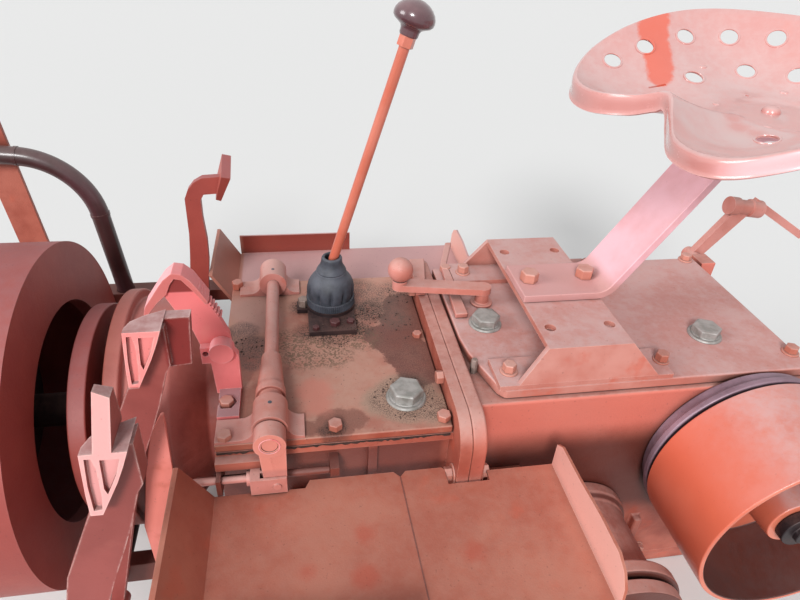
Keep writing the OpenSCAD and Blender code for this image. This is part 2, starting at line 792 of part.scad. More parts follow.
module pedal_shaft() {
    collar_r = 20;
    collar_w = 15;
    near_end = outer_pedal_front - end_gap;
    far_end = far_pedal_y + pedal_hub_w / 2 + end_gap;
    color("dimgray") turned_y(pedal_x, pedal_z, [[0, near_end - collar_w],
        [collar_r, near_end - collar_w], [collar_r, near_end], [pedal_shaft_r, near_end],
        [pedal_shaft_r, far_end], [collar_r, far_end], [collar_r, far_end + collar_w],
        [0, far_end + collar_w]]);
}

module pedal_hangers() {
    color("firebrick") both_sides() difference() {
        union() {
            block([pedal_x, -152, pedal_z - 20], [gearbox_front, -128, pedal_z + 22]);
            rod_y(pedal_x, pedal_z, 22, -152, -128);
            block([gearbox_front - 16, -168, sump_h + 30], [gearbox_front, -100, 176]);
        }
        rod_y(pedal_x, pedal_z, pedal_shaft_r + fit_gap, -through, 0);
    }
}

// A flat pedal: bored hub and an arm of a given outline
module pedal_blade(y, t, outline) {
    difference() {
        union() {
            rod_y(pedal_x, pedal_z, pedal_hub_r, y - pedal_hub_w / 2, y + pedal_hub_w / 2);
            plate_xz(outline, y, t);
        }
        rod_y(pedal_x, pedal_z, pedal_shaft_r + fit_gap, -through, through);
    }
}

// The near pedals' casting: [x, z] outlines of its arm, of the pad in front of it and of the
// pockets in the pad's near face
near_arm = [[pedal_x - 20, pedal_z + 10], [-436, 478], [-423, 507], [-408, 542],
    [-393, 575], [-387, 590], [-383, 650], [-345, 650], [-346, 600], [-352, 590],
    [-366, 545], [-378, 512], [-396, 466], [-414, 414], [pedal_x + 20, pedal_z + 10]];
near_pad = [[-381, 657], [-386, 611], [-388, 584], [-378, 584], [-367, 606], [-359, 622],
    [-351, 641], [-345, 657]];
near_pockets = [
    [[-378, 652], [-373, 652], [-371.5, 640], [-374, 609], [-377, 591], [-384, 590], [-382, 621]],
    [[-367, 650], [-352, 650], [-358, 632], [-369, 609], [-370.5, 616]]];

module near_casting(front) {
    back = front + pedal_hub_w;
    arm_t = 23;
    pocket_deep = 5;
    difference() {
        union() {
            rod_y(pedal_x, pedal_z, pedal_hub_r, front, back);
            plate_xz(near_arm, back - arm_t / 2, arm_t);
            plate_xz(near_pad, (front + back) / 2, pedal_hub_w);
        }
        rod_y(pedal_x, pedal_z, pedal_shaft_r + fit_gap, -through, through);
        for (pocket = near_pockets)
            plate_xz(pocket, front + pocket_deep / 2 - 1, pocket_deep + 2);
        translate([0, back, 600]) linear_extrude(100)
            polygon([[-400, -32], [-382, -32], [-377, -19], [-366, -10], [-343, 1], [-400, 1]]);
    }
}

module near_pedal() {
    web_t = 14;
    web_back = near_pedal_front + pedal_hub_w - 1;
    color("lightcoral") {
        near_casting(near_pedal_front);
        plate_xz([[-360, 600], [-347, 656], [-320, 656], [-326, 594], [-352, 592]],
            web_back - web_t / 2, web_t);
    }
}

module near_outer_pedal() {
    lug_front = outer_pedal_front;
    lug_foot = 655;
    color("lightcoral") {
        near_casting(lug_front);
        intersection() {
            plate_xz([[-371, lug_foot], [-370, 660], [-357, 721], [-346, 714],
                [-357, lug_foot]], lug_front + pedal_hub_w / 2, pedal_hub_w);
            plate_yz([[lug_front, lug_foot], [lug_front, 722], [lug_front + 8, 722],
                [lug_front + pedal_hub_w, 659], [lug_front + pedal_hub_w, lug_foot]],
                -380, -340);
        }
    }
}

module far_pedal() {
    y = far_pedal_y;
    pad_tilt = 25;
    color("lightcoral") {
        pedal_blade(y, 14, [[pedal_x - 18, pedal_z + 10], [pedal_x + 18, pedal_z + 10],
            [-430, 250], [-382, 345], [-373, 402], [-364, 472], [-362, 512], [-364, 554],
            [-363, 588], [-357, 598], [-326, 600], [-326, 629], [-357, 627], [-371, 619],
            [-381, 607], [-388, 591], [-390, 526], [-394, 487], [-401, 432], [-412, 380],
            [-460, 270]]);
        translate([0, y, 625]) rotate([pad_tilt, 0, 0])
            plate_xz([[-338, -26], [-330, -30], [-308, 24], [-322, 28]], 0, 50);
    }
}

module pedal_stop() {
    x0 = gearbox_front;
    stop_t = 6;
    color("lightcoral") plate_xz([[x0, 120], [x0, 176], [-380, 394], [-375, 497],
        [-379, 497], [-396, 464], [-413, 399], [-434, 290], [-434, 200], [-430, 176],
        [-400, 150]], -168 - stop_t / 2, stop_t);
}

/* Latch lever */

latch_x = -311;
latch_y = -70;
latch_rise = 75;

module latch_bracket() {
    z = cover_top;
    boss_z = z + latch_rise;
    upright_t = 10;
    lever_face = latch_y - 12;
    color("lightcoral") difference() {
        union() {
            block([-321, -145, z], [-293, lever_face, z + 8]);
            plate_xz([[-325, z + 1], [-292, z + 1], [-291, boss_z - 10], [-297, boss_z],
                [-325, boss_z], [-327, boss_z - 20]], lever_face - upright_t / 2, upright_t);
            rod_y(latch_x, boss_z, 15.5, lever_face - 18, lever_face);
            block([-338, lever_face - upright_t, z + 54], [-324, lever_face, z + 80]);
        }
        rod_y(-332, z + 70, 4, lever_face - upright_t - 1, lever_face + 1);
        translate([-310, -118, z + 3]) cylinder(r = 13.5, h = 9, $fn = 6);
    }
}

module latch_lever() {
    z = cover_top;
    web_t = 10;
    rim_t = 27;
    color("lightcoral") {
        plate_xz([[-334, z + 63], [-338, z + 75], [-344, z + 99], [-349, z + 117],
            [-361, z + 133], [-370, z + 154], [-369, z + 162], [-357, z + 184],
            [-346, z + 182], [-338, z + 173], [-329, z + 160], [-320, z + 141],
            [-310, z + 120], [-300, z + 92], [-299, z + 74], [-303, z + 66]],
            latch_y - 12 + web_t / 2, web_t);
        plate_xz([[-398, z + 131], [-395, z + 143], [-377, z + 169], [-368, z + 181],
            [-357, z + 190], [-346, z + 188], [-336, z + 178], [-328, z + 163],
            [-320, z + 147], [-323, z + 143], [-333, z + 160], [-340, z + 170],
            [-347, z + 180], [-355, z + 182], [-361, z + 174], [-367, z + 160],
            [-379, z + 149], [-392, z + 133]], latch_y - 16 + rim_t / 2, rim_t);
    }
}

/* Linkage at the right-hand rear */

linkage_x = rear_len + 15;
linkage_y = 200;
linkage_z = cover_top + 10;

module linkage_pivot() {
    color("firebrick") block([rear_len, linkage_y - 54, linkage_z - 40],
        [rear_len + 30, linkage_y - 16, linkage_z + 14]);
}

module linkage_crank() {
    arm_t = 14;
    pin_r = 12;
    knuckle = [linkage_x + 40, linkage_z + 108];
    cheek_r = 17;
    eye_r = 14;
    slope = 8.5;
    color("salmon") {
        rod_y(linkage_x, linkage_z, pin_r, linkage_y - 16, linkage_y + 16);
        plate_xz([[linkage_x - 11, linkage_z], [linkage_x + 11, linkage_z - 5],
            [linkage_x + 88, linkage_z + 96], [linkage_x + 56, linkage_z + 104]],
            linkage_y, arm_t);
        translate([knuckle[0], linkage_y, knuckle[1]]) rotate([0, 90 + slope, 0])
            rotate_extrude() polygon([[0, 0], [cheek_r, 0], [cheek_r, 18], [eye_r, 20],
                [eye_r, 44], [cheek_r, 46], [cheek_r, 70], [0, 70]]);
        plate_xz([[linkage_x + 86, linkage_z + 110], [linkage_x + 93, linkage_z + 122],
            [linkage_x + 232, linkage_z + 43], [linkage_x + 225, linkage_z + 31]],
            linkage_y, 8);
    }
}

/* Guard tube at the far front */

pipe_r = 15;
pipe_y = 286;
pipe_x = -530; // at the level of the foot plates
pipe_lean = 4.5;
stay_gap = 19; // from the pipe's middle to the stay's near face

// Places what is drawn along +Z on the pipe's leaning foot
module on_pipe() {
    translate([pipe_x, pipe_y, plate_z - plate_t]) rotate([0, -pipe_lean, 0]) children();
}

module side_pipe() {
    rise = 155;
    bend_r = 115;
    bend_deg = 80;
    tail = 120;
    bead_w = 5; // weld beads at both ends of the bend
    bead_r = pipe_r + 1;
    color("saddlebrown") on_pipe() {
        translate([0, 0, -50]) cylinder(r = pipe_r, h = rise + 50);
        translate([0, 0, rise - bead_w / 2]) cylinder(r = bead_r, h = bead_w);
        translate([-bend_r, 0, rise]) rotate([90, 0, 0]) rotate_extrude(angle = bend_deg)
            translate([bend_r, 0]) circle(r = pipe_r);
        translate([-bend_r, 0, rise]) rotate([0, -bend_deg, 0]) translate([bend_r, 0, 0]) {
            cylinder(r = pipe_r, h = tail);
            translate([0, 0, -bead_w / 2]) cylinder(r = bead_r, h = bead_w);
            translate([0, 0, tail]) cylinder(r = 32, h = 12);
        }
    }
}

module pipe_stay() {
    near = pipe_y + stay_gap;
    stay_t = 8;
    low = plate_z - plate_t - 24;
    color("firebrick") {
        plate_xz([[-685, low], [-638, low], [-665, 704], [-712, 704]], near + stay_t / 2, stay_t);
        plate_xz([[-685, low], [-679, low], [-706, 704], [-712, 704]], near + 20, 40);
    }
}

module pipe_bracket() {
    top = plate_z - plate_t;
    color("firebrick") difference() {
        block([-689, pipe_y - stay_gap, top - 24], [-292, pipe_y + stay_gap, top]);
        on_pipe() translate([0, 0, -100]) cylinder(r = pipe_r + fit_gap, h = 200);
    }
}

sump_pan();
gearbox_case();
gearbox_cover();
cover_plug();
bell_housing();
input_shaft();
clutch_disc();
flywheel();
clutch_drum();
rear_housing();
rear_cover();
rear_plugs();
pulley_housing();
pulley_shaft();
belt_pulley();
near_trumpet();
far_trumpet();
near_hub();
far_hub();
power_shaft_cap();
power_shaft();
drawbar();
seat_bracket();
seat_spring();
seat_pan();
cross_shaft();
near_bearing();
far_bearing();
cross_arm();
side_rod();
pull_rod();
lever_base();
lever_boot();
gear_lever();
gear_knob();
drive_pivot();
drive_lever();
drive_gate();
near_foot_plate();
far_foot_plate();
pedal_shaft();
pedal_hangers();
near_pedal();
near_outer_pedal();
far_pedal();
pedal_stop();
latch_bracket();
latch_lever();
linkage_pivot();
linkage_crank();
side_pipe();
pipe_stay();
pipe_bracket();
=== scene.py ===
import json
import math
import random
import bmesh
import bpy
from mathutils import Matrix, Vector


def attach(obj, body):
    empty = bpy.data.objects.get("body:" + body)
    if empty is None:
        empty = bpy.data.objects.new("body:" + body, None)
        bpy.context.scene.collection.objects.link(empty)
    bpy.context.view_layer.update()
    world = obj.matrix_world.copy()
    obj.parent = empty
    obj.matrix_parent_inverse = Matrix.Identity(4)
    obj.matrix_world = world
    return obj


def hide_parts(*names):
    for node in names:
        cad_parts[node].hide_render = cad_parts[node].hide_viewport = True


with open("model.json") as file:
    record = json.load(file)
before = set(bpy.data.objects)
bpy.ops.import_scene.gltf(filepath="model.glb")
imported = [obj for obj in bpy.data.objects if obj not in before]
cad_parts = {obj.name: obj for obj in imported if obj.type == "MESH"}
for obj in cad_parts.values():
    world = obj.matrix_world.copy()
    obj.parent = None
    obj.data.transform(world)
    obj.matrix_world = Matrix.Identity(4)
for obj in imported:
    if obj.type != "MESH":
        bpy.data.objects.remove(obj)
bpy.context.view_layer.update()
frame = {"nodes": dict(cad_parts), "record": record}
nodes = frame["nodes"]
bodyOf = {node: body for body, members in frame["record"]["behaviour"]["bodies"].items() for node in members}
print("frame loaded,", len(nodes), "nodes")

# camera, worked out from the straight edges of the casing in the photograph
cameraView = {"place": (-0.205, -0.723, 1.027), "yaw": 11.19, "pitch": 34.19, "roll": -3.48, "lens": 27.0}


def makeCamera(view):
    yaw, pitch, roll = (math.radians(view[k]) for k in ("yaw", "pitch", "roll"))
    forward = Vector((math.sin(yaw) * math.cos(pitch), math.cos(yaw) * math.cos(pitch), -math.sin(pitch)))
    right = Vector((math.cos(yaw), -math.sin(yaw), 0))
    down = forward.cross(right)
    turnedRight = math.cos(roll) * right + math.sin(roll) * down
    turnedDown = -math.sin(roll) * right + math.cos(roll) * down
    data = bpy.data.cameras.new("photoCamera")
    data.sensor_width = 36
    data.lens = view["lens"]
    data.clip_start = 0.01
    camera = bpy.data.objects.new("photoCamera", data)
    axes = Matrix((turnedRight, -turnedDown, -forward)).transposed()
    camera.matrix_world = Matrix.Translation(view["place"]) @ axes.to_4x4()
    bpy.context.scene.collection.objects.link(camera)
    bpy.context.scene.camera = camera


makeCamera(cameraView)
bpy.context.scene.view_settings.view_transform = "Standard"

# light: a broad sun from the near side, a second from the front, and a pale sky
studio = {"sunFrom": (-0.3, -0.85, 0.6), "sun": 2.5, "sunWidth": 0.3, "frontFrom": (-0.9, -0.12, 0.4),
          "front": 1.6, "frontWidth": 0.5, "sky": 0.38, "skyColor": (0.97, 0.98, 1, 1), "backdrop": 0.93,
          "floorSize": 40, "floorGrey": 0.78, "floorRough": 0.9}


def makeSun(name, source, strength, width):
    data = bpy.data.lights.new(name, "SUN")
    data.energy = strength
    data.angle = width
    lamp = bpy.data.objects.new(name, data)
    lamp.matrix_world = Vector(source).to_track_quat("Z", "Y").to_matrix().to_4x4()
    bpy.context.scene.collection.objects.link(lamp)


def makeSky(strength, color, backdrop):
    # pale where the camera and reflections see it, and a softer light on the object
    world = bpy.data.worlds.new("sky")
    world.use_nodes = True
    tree = world.node_tree
    tree.nodes.clear()
    seen = tree.nodes.new("ShaderNodeLightPath")
    shown = tree.nodes.new("ShaderNodeBackground")
    lit = tree.nodes.new("ShaderNodeBackground")
    glossy = tree.nodes.new("ShaderNodeMath")
    either = tree.nodes.new("ShaderNodeMath")
    glossy.operation = either.operation = "MAXIMUM"
    mixed = tree.nodes.new("ShaderNodeMixShader")
    out = tree.nodes.new("ShaderNodeOutputWorld")
    shown.inputs["Color"].default_value = (1, 1, 1, 1)
    shown.inputs["Strength"].default_value = backdrop
    lit.inputs["Color"].default_value = color
    lit.inputs["Strength"].default_value = strength
    tree.links.new(seen.outputs["Is Camera Ray"], glossy.inputs[0])
    tree.links.new(seen.outputs["Is Glossy Ray"], glossy.inputs[1])
    tree.links.new(glossy.outputs[0], either.inputs[0])
    tree.links.new(seen.outputs["Is Transmission Ray"], either.inputs[1])
    tree.links.new(either.outputs[0], mixed.inputs[0])
    tree.links.new(lit.outputs[0], mixed.inputs[1])
    tree.links.new(shown.outputs[0], mixed.inputs[2])
    tree.links.new(mixed.outputs[0], out.inputs["Surface"])
    bpy.context.scene.world = world


def makeFloor(size, grey, rough):
    bm = bmesh.new()
    bmesh.ops.create_grid(bm, x_segments=1, y_segments=1, size=size / 2)
    mesh = bpy.data.meshes.new("floor")
    bm.to_mesh(mesh)
    bm.free()
    floor = bpy.data.objects.new("floor", mesh)
    bpy.context.scene.collection.objects.link(floor)
    material = bpy.data.materials.new("floorGrey")
    material.use_nodes = True
    shader = material.node_tree.nodes["Principled BSDF"]
    shader.inputs["Base Color"].default_value = (grey, grey, grey * 0.99, 1)
    shader.inputs["Roughness"].default_value = rough
    mesh.materials.append(material)


makeSun("mainSun", studio["sunFrom"], studio["sun"], studio["sunWidth"])
makeSun("frontSun", studio["frontFrom"], studio["front"], studio["frontWidth"])
makeSky(studio["sky"], studio["skyColor"], studio["backdrop"])
makeFloor(studio["floorSize"], studio["floorGrey"], studio["floorRough"])
print("camera, light and floor made")


class Wire:
    # a socket of a material; sums on it add Math nodes
    def __init__(self, paint, socket):
        self.paint, self.socket = paint, socket

    def __add__(self, other):
        return self.paint.maths("ADD", self, other)

    def __sub__(self, other):
        return self.paint.maths("SUBTRACT", self, other)

    def __rsub__(self, other):
        return self.paint.maths("SUBTRACT", other, self)

    def __mul__(self, other):
        return self.paint.maths("MULTIPLY", self, other)

    __radd__ = __add__
    __rmul__ = __mul__


def tint(code):
    # linear colour of an sRGB code such as "c08070"
    parts = [int(code[i:i + 2], 16) / 255 for i in (0, 2, 4)]
    return (*[p / 12.92 if p <= 0.04045 else ((p + 0.055) / 1.055) ** 2.4 for p in parts], 1)


class Paint:
    # one material, with the few node recipes that this tractor's finishes share
    def __init__(self, name):
        self.material = bpy.data.materials.new(name)
        self.material.use_nodes = True
        self.tree = self.material.node_tree
        self.tree.nodes.clear()
        self.shader = self.tree.nodes.new("ShaderNodeBsdfPrincipled")
        out = self.tree.nodes.new("ShaderNodeOutputMaterial")
        self.tree.links.new(self.shader.outputs[0], out.inputs["Surface"])

    def feed(self, socket, value):
        if isinstance(value, Wire):
            self.tree.links.new(value.socket, socket)
        else:
            socket.default_value = value

    def node(self, kind, settings=None, inputs=None, output=0):
        made = self.tree.nodes.new("ShaderNode" + kind)
        for key, value in (settings or {}).items():
            setattr(made, key, value)
        for key, value in (inputs or {}).items():
            self.feed(made.inputs[key], value)
        return Wire(self, made.outputs[output])

    def maths(self, operation, a, b=0.0):
        return self.node("Math", {"operation": operation}, {0: a, 1: b})

    def mix(self, amount, a, b):
        return self.node("Mix", {"data_type": "RGBA"}, {0: amount, 6: a, 7: b}, 2)

    def rise(self, value, low, high):
        # 0 below low and 1 above high, smooth between them
        return self.node("MapRange", {"interpolation_type": "SMOOTHSTEP"}, {0: value, 1: low, 2: high})

    def place(self):
        return self.node("TexCoord", output=3)

    def along(self, axis):
        return self.node("SeparateXYZ", None, {0: self.place()}, axis)

    def facing(self, axis):
        # how far the piece's own surface faces along an axis, 0 x, 1 y, 2 z
        return self.node("SeparateXYZ", None, {0: self.node("TexCoord", output=1)}, axis)

    def toneAmount(self, tone, turnedBy=(0.3, 0.75)):
        # where a change of tone shows: on faces that look one way, inside a zone of places in metres
        amount = tone["strength"]
        if "facing" in tone:
            axis, sign = tone["facing"]
            amount = self.rise(self.facing(axis) * sign, *turnedBy) * amount
        for axis, low, high in tone.get("zone", []):
            soft = tone.get("soft", 0.004)
            amount = self.rise(self.along(axis), low - soft, low + soft) * amount
            amount = (1 - self.rise(self.along(axis), high - soft, high + soft)) * amount
        return amount

    def spotDistance(self, circles):
        # distance in mm outside the nearest of some circles in plan
        where = self.node("VectorMath", {"operation": "MULTIPLY"}, {0: self.place(), 1: (1000, 1000, 0)})
        nearest = None
        for x, y, radius in circles:
            away = self.node("VectorMath", {"operation": "DISTANCE"}, {0: where, 1: (x, y, 0)}, 1) - radius
            nearest = away if nearest is None else self.maths("MINIMUM", nearest, away)
        return nearest

    def inward(self, axisAt, turnedBy=(0.2, 0.6)):
        # 1 where the surface faces an axis along Y, as the inside of a drum does
        away = self.node("VectorMath", {"operation": "SUBTRACT"}, {0: self.place(), 1: axisAt})
        flat = self.node("VectorMath", {"operation": "MULTIPLY"}, {0: away, 1: (1, 0, 1)})
        outward = self.node("VectorMath", {"operation": "NORMALIZE"}, {0: flat})
        normal = self.node("TexCoord", output=1)
        facing = self.node("VectorMath", {"operation": "DOT_PRODUCT"}, {0: outward, 1: normal}, 1)
        return self.rise(0 - facing, *turnedBy)

    def noise(self, scale, detail, rough):
        return self.node("TexNoise", None, {"Vector": self.place(), "Scale": scale, "Detail": detail,
                                            "Roughness": rough})

    def edges(self, radius, sharpness=(0.03, 0.25)):
        # 1 on the sharp edges, 0 on flat ground
        rounded = self.node("Bevel", {"samples": 6}, {"Radius": radius})
        plain = self.node("NewGeometry", output=1)
        same = self.node("VectorMath", {"operation": "DOT_PRODUCT"}, {0: rounded, 1: plain}, 1)
        return self.rise(1 - same, *sharpness)

    def corners(self, reach, closeness=(0.25, 0.85)):
        # 1 deep in the corners, 0 in the open
        openness = self.node("AmbientOcclusion", {"samples": 8}, {"Distance": reach}, 1)
        return self.rise(1 - openness, *closeness)

    def bump(self, height, strength, distance):
        bumped = self.node("Bump", None, {"Strength": strength, "Distance": distance, "Height": height})
        self.feed(self.shader.inputs["Normal"], bumped)

    def give(self, **values):
        # sets the shader's sockets by their short names, and hands the material over
        sockets = {"color": "Base Color", "roughness": "Roughness", "metallic": "Metallic",
                   "coat": "Coat Weight", "coatRoughness": "Coat Roughness"}
        for key, value in values.items():
            self.feed(self.shader.inputs[sockets[key]], value)
        return self.material


# how old paint shows: noise scales, and the low and high marks between which each effect comes in
paintWear = {
    "fine": 70, "grain": 420, "specks": 260, "grit": 560, "freshTimes": 2.3, "patchMarks": (0.38, 0.62),
    "freshMarks": (0.6, 0.72), "upMarks": (0.25, 0.9), "filmMarks": (0.34, 0.62), "chipMarks": (0.35, 0.6),
    "gritMarks": (0.48, 0.55), "speckMarks": (0.68, 0.74), "edgeWidth": 0.003, "cornerReach": 0.03,
    "insideShadeShare": 0.9, "speckShare": 0.25, "relief": 0.0012, "coatRough": 0.12}


def oldPaint(name, look):
    # red machine paint: two tones of red, wiped spots, dust on top, grime and painted shade in corners, worn
    # edges, oil spots
    paint, wear = Paint(name), paintWear
    broad = paint.noise(look["patch"], 4, 0.6)
    fine = paint.noise(wear["fine"], 6, 0.7)
    grain = paint.noise(wear["grain"], 3, 0.6)
    color = paint.mix(paint.rise(broad, *wear["patchMarks"]), tint(look["deep"]), tint(look["mid"]))
    wiped = paint.rise(paint.noise(look["patch"] * wear["freshTimes"], 3, 0.55), *wear["freshMarks"])
    color = paint.mix(wiped * look["fresh"], color, tint(look["freshColor"]))
    up = paint.rise(paint.facing(2), *wear["upMarks"])
    film = paint.rise(fine * 0.5 + broad * 0.5, *wear["filmMarks"])
    dust = up * (film * 0.6 + 0.4) * look["dust"]
    color = paint.mix(dust, color, tint(look["dustColor"]))
    # tones: mostly painted light and painted shade, a face turned one way made lighter or darker in a zone; the
    # rest are dust and the paint's own tone
    for tone in look.get("tones", []):
        color = paint.mix(paint.toneAmount(tone), color, tint(tone["color"]))
    worn = paint.edges(look.get("edgeWidth", wear["edgeWidth"]))
    edge = worn * paint.rise(fine, *wear["chipMarks"]) * look["edge"]
    color = paint.mix(edge, color, tint(look["edgeColor"]))
    # darker in the corners: partly grime, partly painted shade
    grimeAndShade = paint.corners(look.get("cornerReach", wear["cornerReach"])) * look["grimeAndShade"]
    color = paint.mix(grimeAndShade, color, tint(look["grimeAndShadeColor"]))
    rough = dust * 0.25 + look["rough"] + fine * 0.12
    # painted shade: faces turned to a drum's axis darkened
    if "inside" in look:
        color = paint.mix(paint.inward(look["inside"]) * wear["insideShadeShare"], color, tint(look["insideShadeColor"]))
    for spot in look.get("spots", []):
        uneven = (fine + broad * 0.6 + grain * 0.4 - 1) * spot["ragged"]
        away = paint.spotDistance(spot["circles"]) + uneven
        inside = (1 - paint.rise(away, -spot["soft"], spot["soft"])) * spot["strength"]
        if "grit" in spot:
            coarse = paint.noise(spot.get("gritScale", wear["grit"]), 2, 0.6)
            crumbs = paint.rise(coarse + (fine - 0.5) * 0.5, *wear["gritMarks"])
            inside = inside * (crumbs * spot["grit"] + (1 - spot["grit"]))
        color = paint.mix(inside, color, tint(spot["color"]))
        rough = rough - inside * spot.get("shine", 0.0)
    # painted shade: darker low down and towards the front, where a finish has a shaded zone
    if "shaded" in look:
        shade = look["shaded"]
        low = 1 - paint.rise(paint.along(2), *shade["below"])
        ahead = 1 - paint.rise(paint.along(0), *shade["ahead"])
        color = paint.mix(low * ahead * shade["strength"], color, tint(shade["color"]))
    specks = paint.rise(paint.noise(wear["specks"], 2, 0.5), *wear["speckMarks"])
    color = paint.mix(specks * look.get("specks", wear["speckShare"]), color, tint(look["grimeAndShadeColor"]))
    paint.bump(grain * 0.5 + fine * 0.8 + broad * 0.6, look["bump"], wear["relief"])
    return paint.give(color=color, roughness=rough, coat=look["coat"], coatRoughness=wear["coatRough"])


# the same for bare and dirty metal
metalWear = {"fine": 180, "patchMarks": (0.35, 0.65), "upMarks": (0.3, 0.95), "filmMarks": (0.3, 0.6),
             "edgeWidth": 0.0012, "cornerReach": 0.012, "relief": 0.0006}


def oldMetal(name, look):
    # grey with stains, brushed or pitted; rubber and the crust with its crumbs are made of it too
    paint, wear = Paint(name), metalWear
    broad = paint.noise(look["patch"], 4, 0.6)
    fine = paint.noise(wear["fine"], 5, 0.7)
    color = paint.mix(paint.rise(broad, *wear["patchMarks"]), tint(look["deep"]), tint(look["mid"]))
    film = paint.rise(fine * 0.5 + broad * 0.5, *wear["filmMarks"])
    dust = paint.rise(paint.facing(2), *wear["upMarks"]) * film * look["dust"]
    color = paint.mix(dust, color, tint(look["dustColor"]))
    # darker in the corners: partly grime, partly painted shade
    color = paint.mix(paint.corners(wear["cornerReach"]) * look["grimeAndShade"], color, tint(look["grimeAndShadeColor"]))
    color = paint.mix(paint.edges(wear["edgeWidth"]) * look["edge"], color, tint(look["edgeColor"]))
    paint.bump(fine * 0.7 + broad * 0.5, look["bump"], wear["relief"])
    rough = dust * 0.3 + look["rough"] + fine * 0.15
    return paint.give(color=color, roughness=rough, metallic=look["metallic"])


# the tractor's own red, which each painted finish changes a little
red = {
    "deep": "a04e3c", "mid": "b8664f", "fresh": 0.45, "freshColor": "c4553a", "dustColor": "c09080",
    "dust": 0.6, "edge": 0.5, "edgeColor": "d79c8a", "grimeAndShade": 0.75, "grimeAndShadeColor": "3a211c", "rough": 0.42,
    "patch": 9, "bump": 0.35, "coat": 0.0}
# stains on the gearbox cover: circles in plan as place and radius in mm
coverStains = [
    {"circles": [(-290, 105, 40), (-270, 80, 30), (-285, 60, 24)], "soft": 16, "ragged": 20, "strength": 0.6,
     "color": "c69e94"},
    {"circles": [(-70, -126, 48), (-36, -150, 30), (-108, -130, 26)], "soft": 8, "ragged": 30, "strength": 0.75,
     "color": "a88e7c"},
    {"circles": [(-40, 95, 34), (-45, 50, 38), (-68, 6, 40), (-84, 14, 28), (-48, -34, 40), (-42, -74, 32)],
     "soft": 3, "ragged": 22, "strength": 0.9, "color": "5a322c", "grit": 0.2, "shine": 0.08},
    {"circles": [(-171, -165, 28), (-205, -170, 14), (-146, -160, 18)], "soft": 3, "ragged": 14,
     "strength": 0.8, "color": "7c4c40", "grit": 0.15, "shine": 0.08},
    {"circles": [(-195, -100, 26), (-190, -128, 20)], "soft": 9, "ragged": 14, "strength": 0.75,
     "color": "ca8070"},
    {"circles": [(-85, 110, 42), (-50, 140, 30), (-100, 150, 30), (-60, 60, 30)], "soft": 10, "ragged": 30,
     "strength": 0.9, "color": "5c4840", "grit": 0.95},
    {"circles": [(-235, 10, 30), (-200, -15, 40), (-165, -22, 34), (-120, 10, 30)], "soft": 10, "ragged": 34,
     "strength": 0.8, "color": "67523f", "grit": 0.85, "gritScale": 330},
    {"circles": [(-300, 45, 26), (-288, 5, 32), (-280, -30, 18)], "soft": 5, "ragged": 20, "strength": 0.85,
     "color": "5f4b47", "grit": 0.7},
    {"circles": [(-208, 105, 18), (-100, 82, 30), (-160, 22, 26), (-126, 34, 26), (-196, 34, 20)], "soft": 10,
     "ragged": 26, "strength": 0.95, "color": "36261f", "grit": 0.65, "gritScale": 400},
    {"circles": [(-70, -126, 44), (-36, -150, 26), (-104, -130, 20)], "soft": 10, "ragged": 30,
     "strength": 0.85, "color": "5b463d", "grit": 1},
    {"circles": [(-171, -172, 15), (-185, -176, 8)], "soft": 6, "ragged": 14, "strength": 0.95,
     "color": "2e1f1b", "grit": 0.5}]
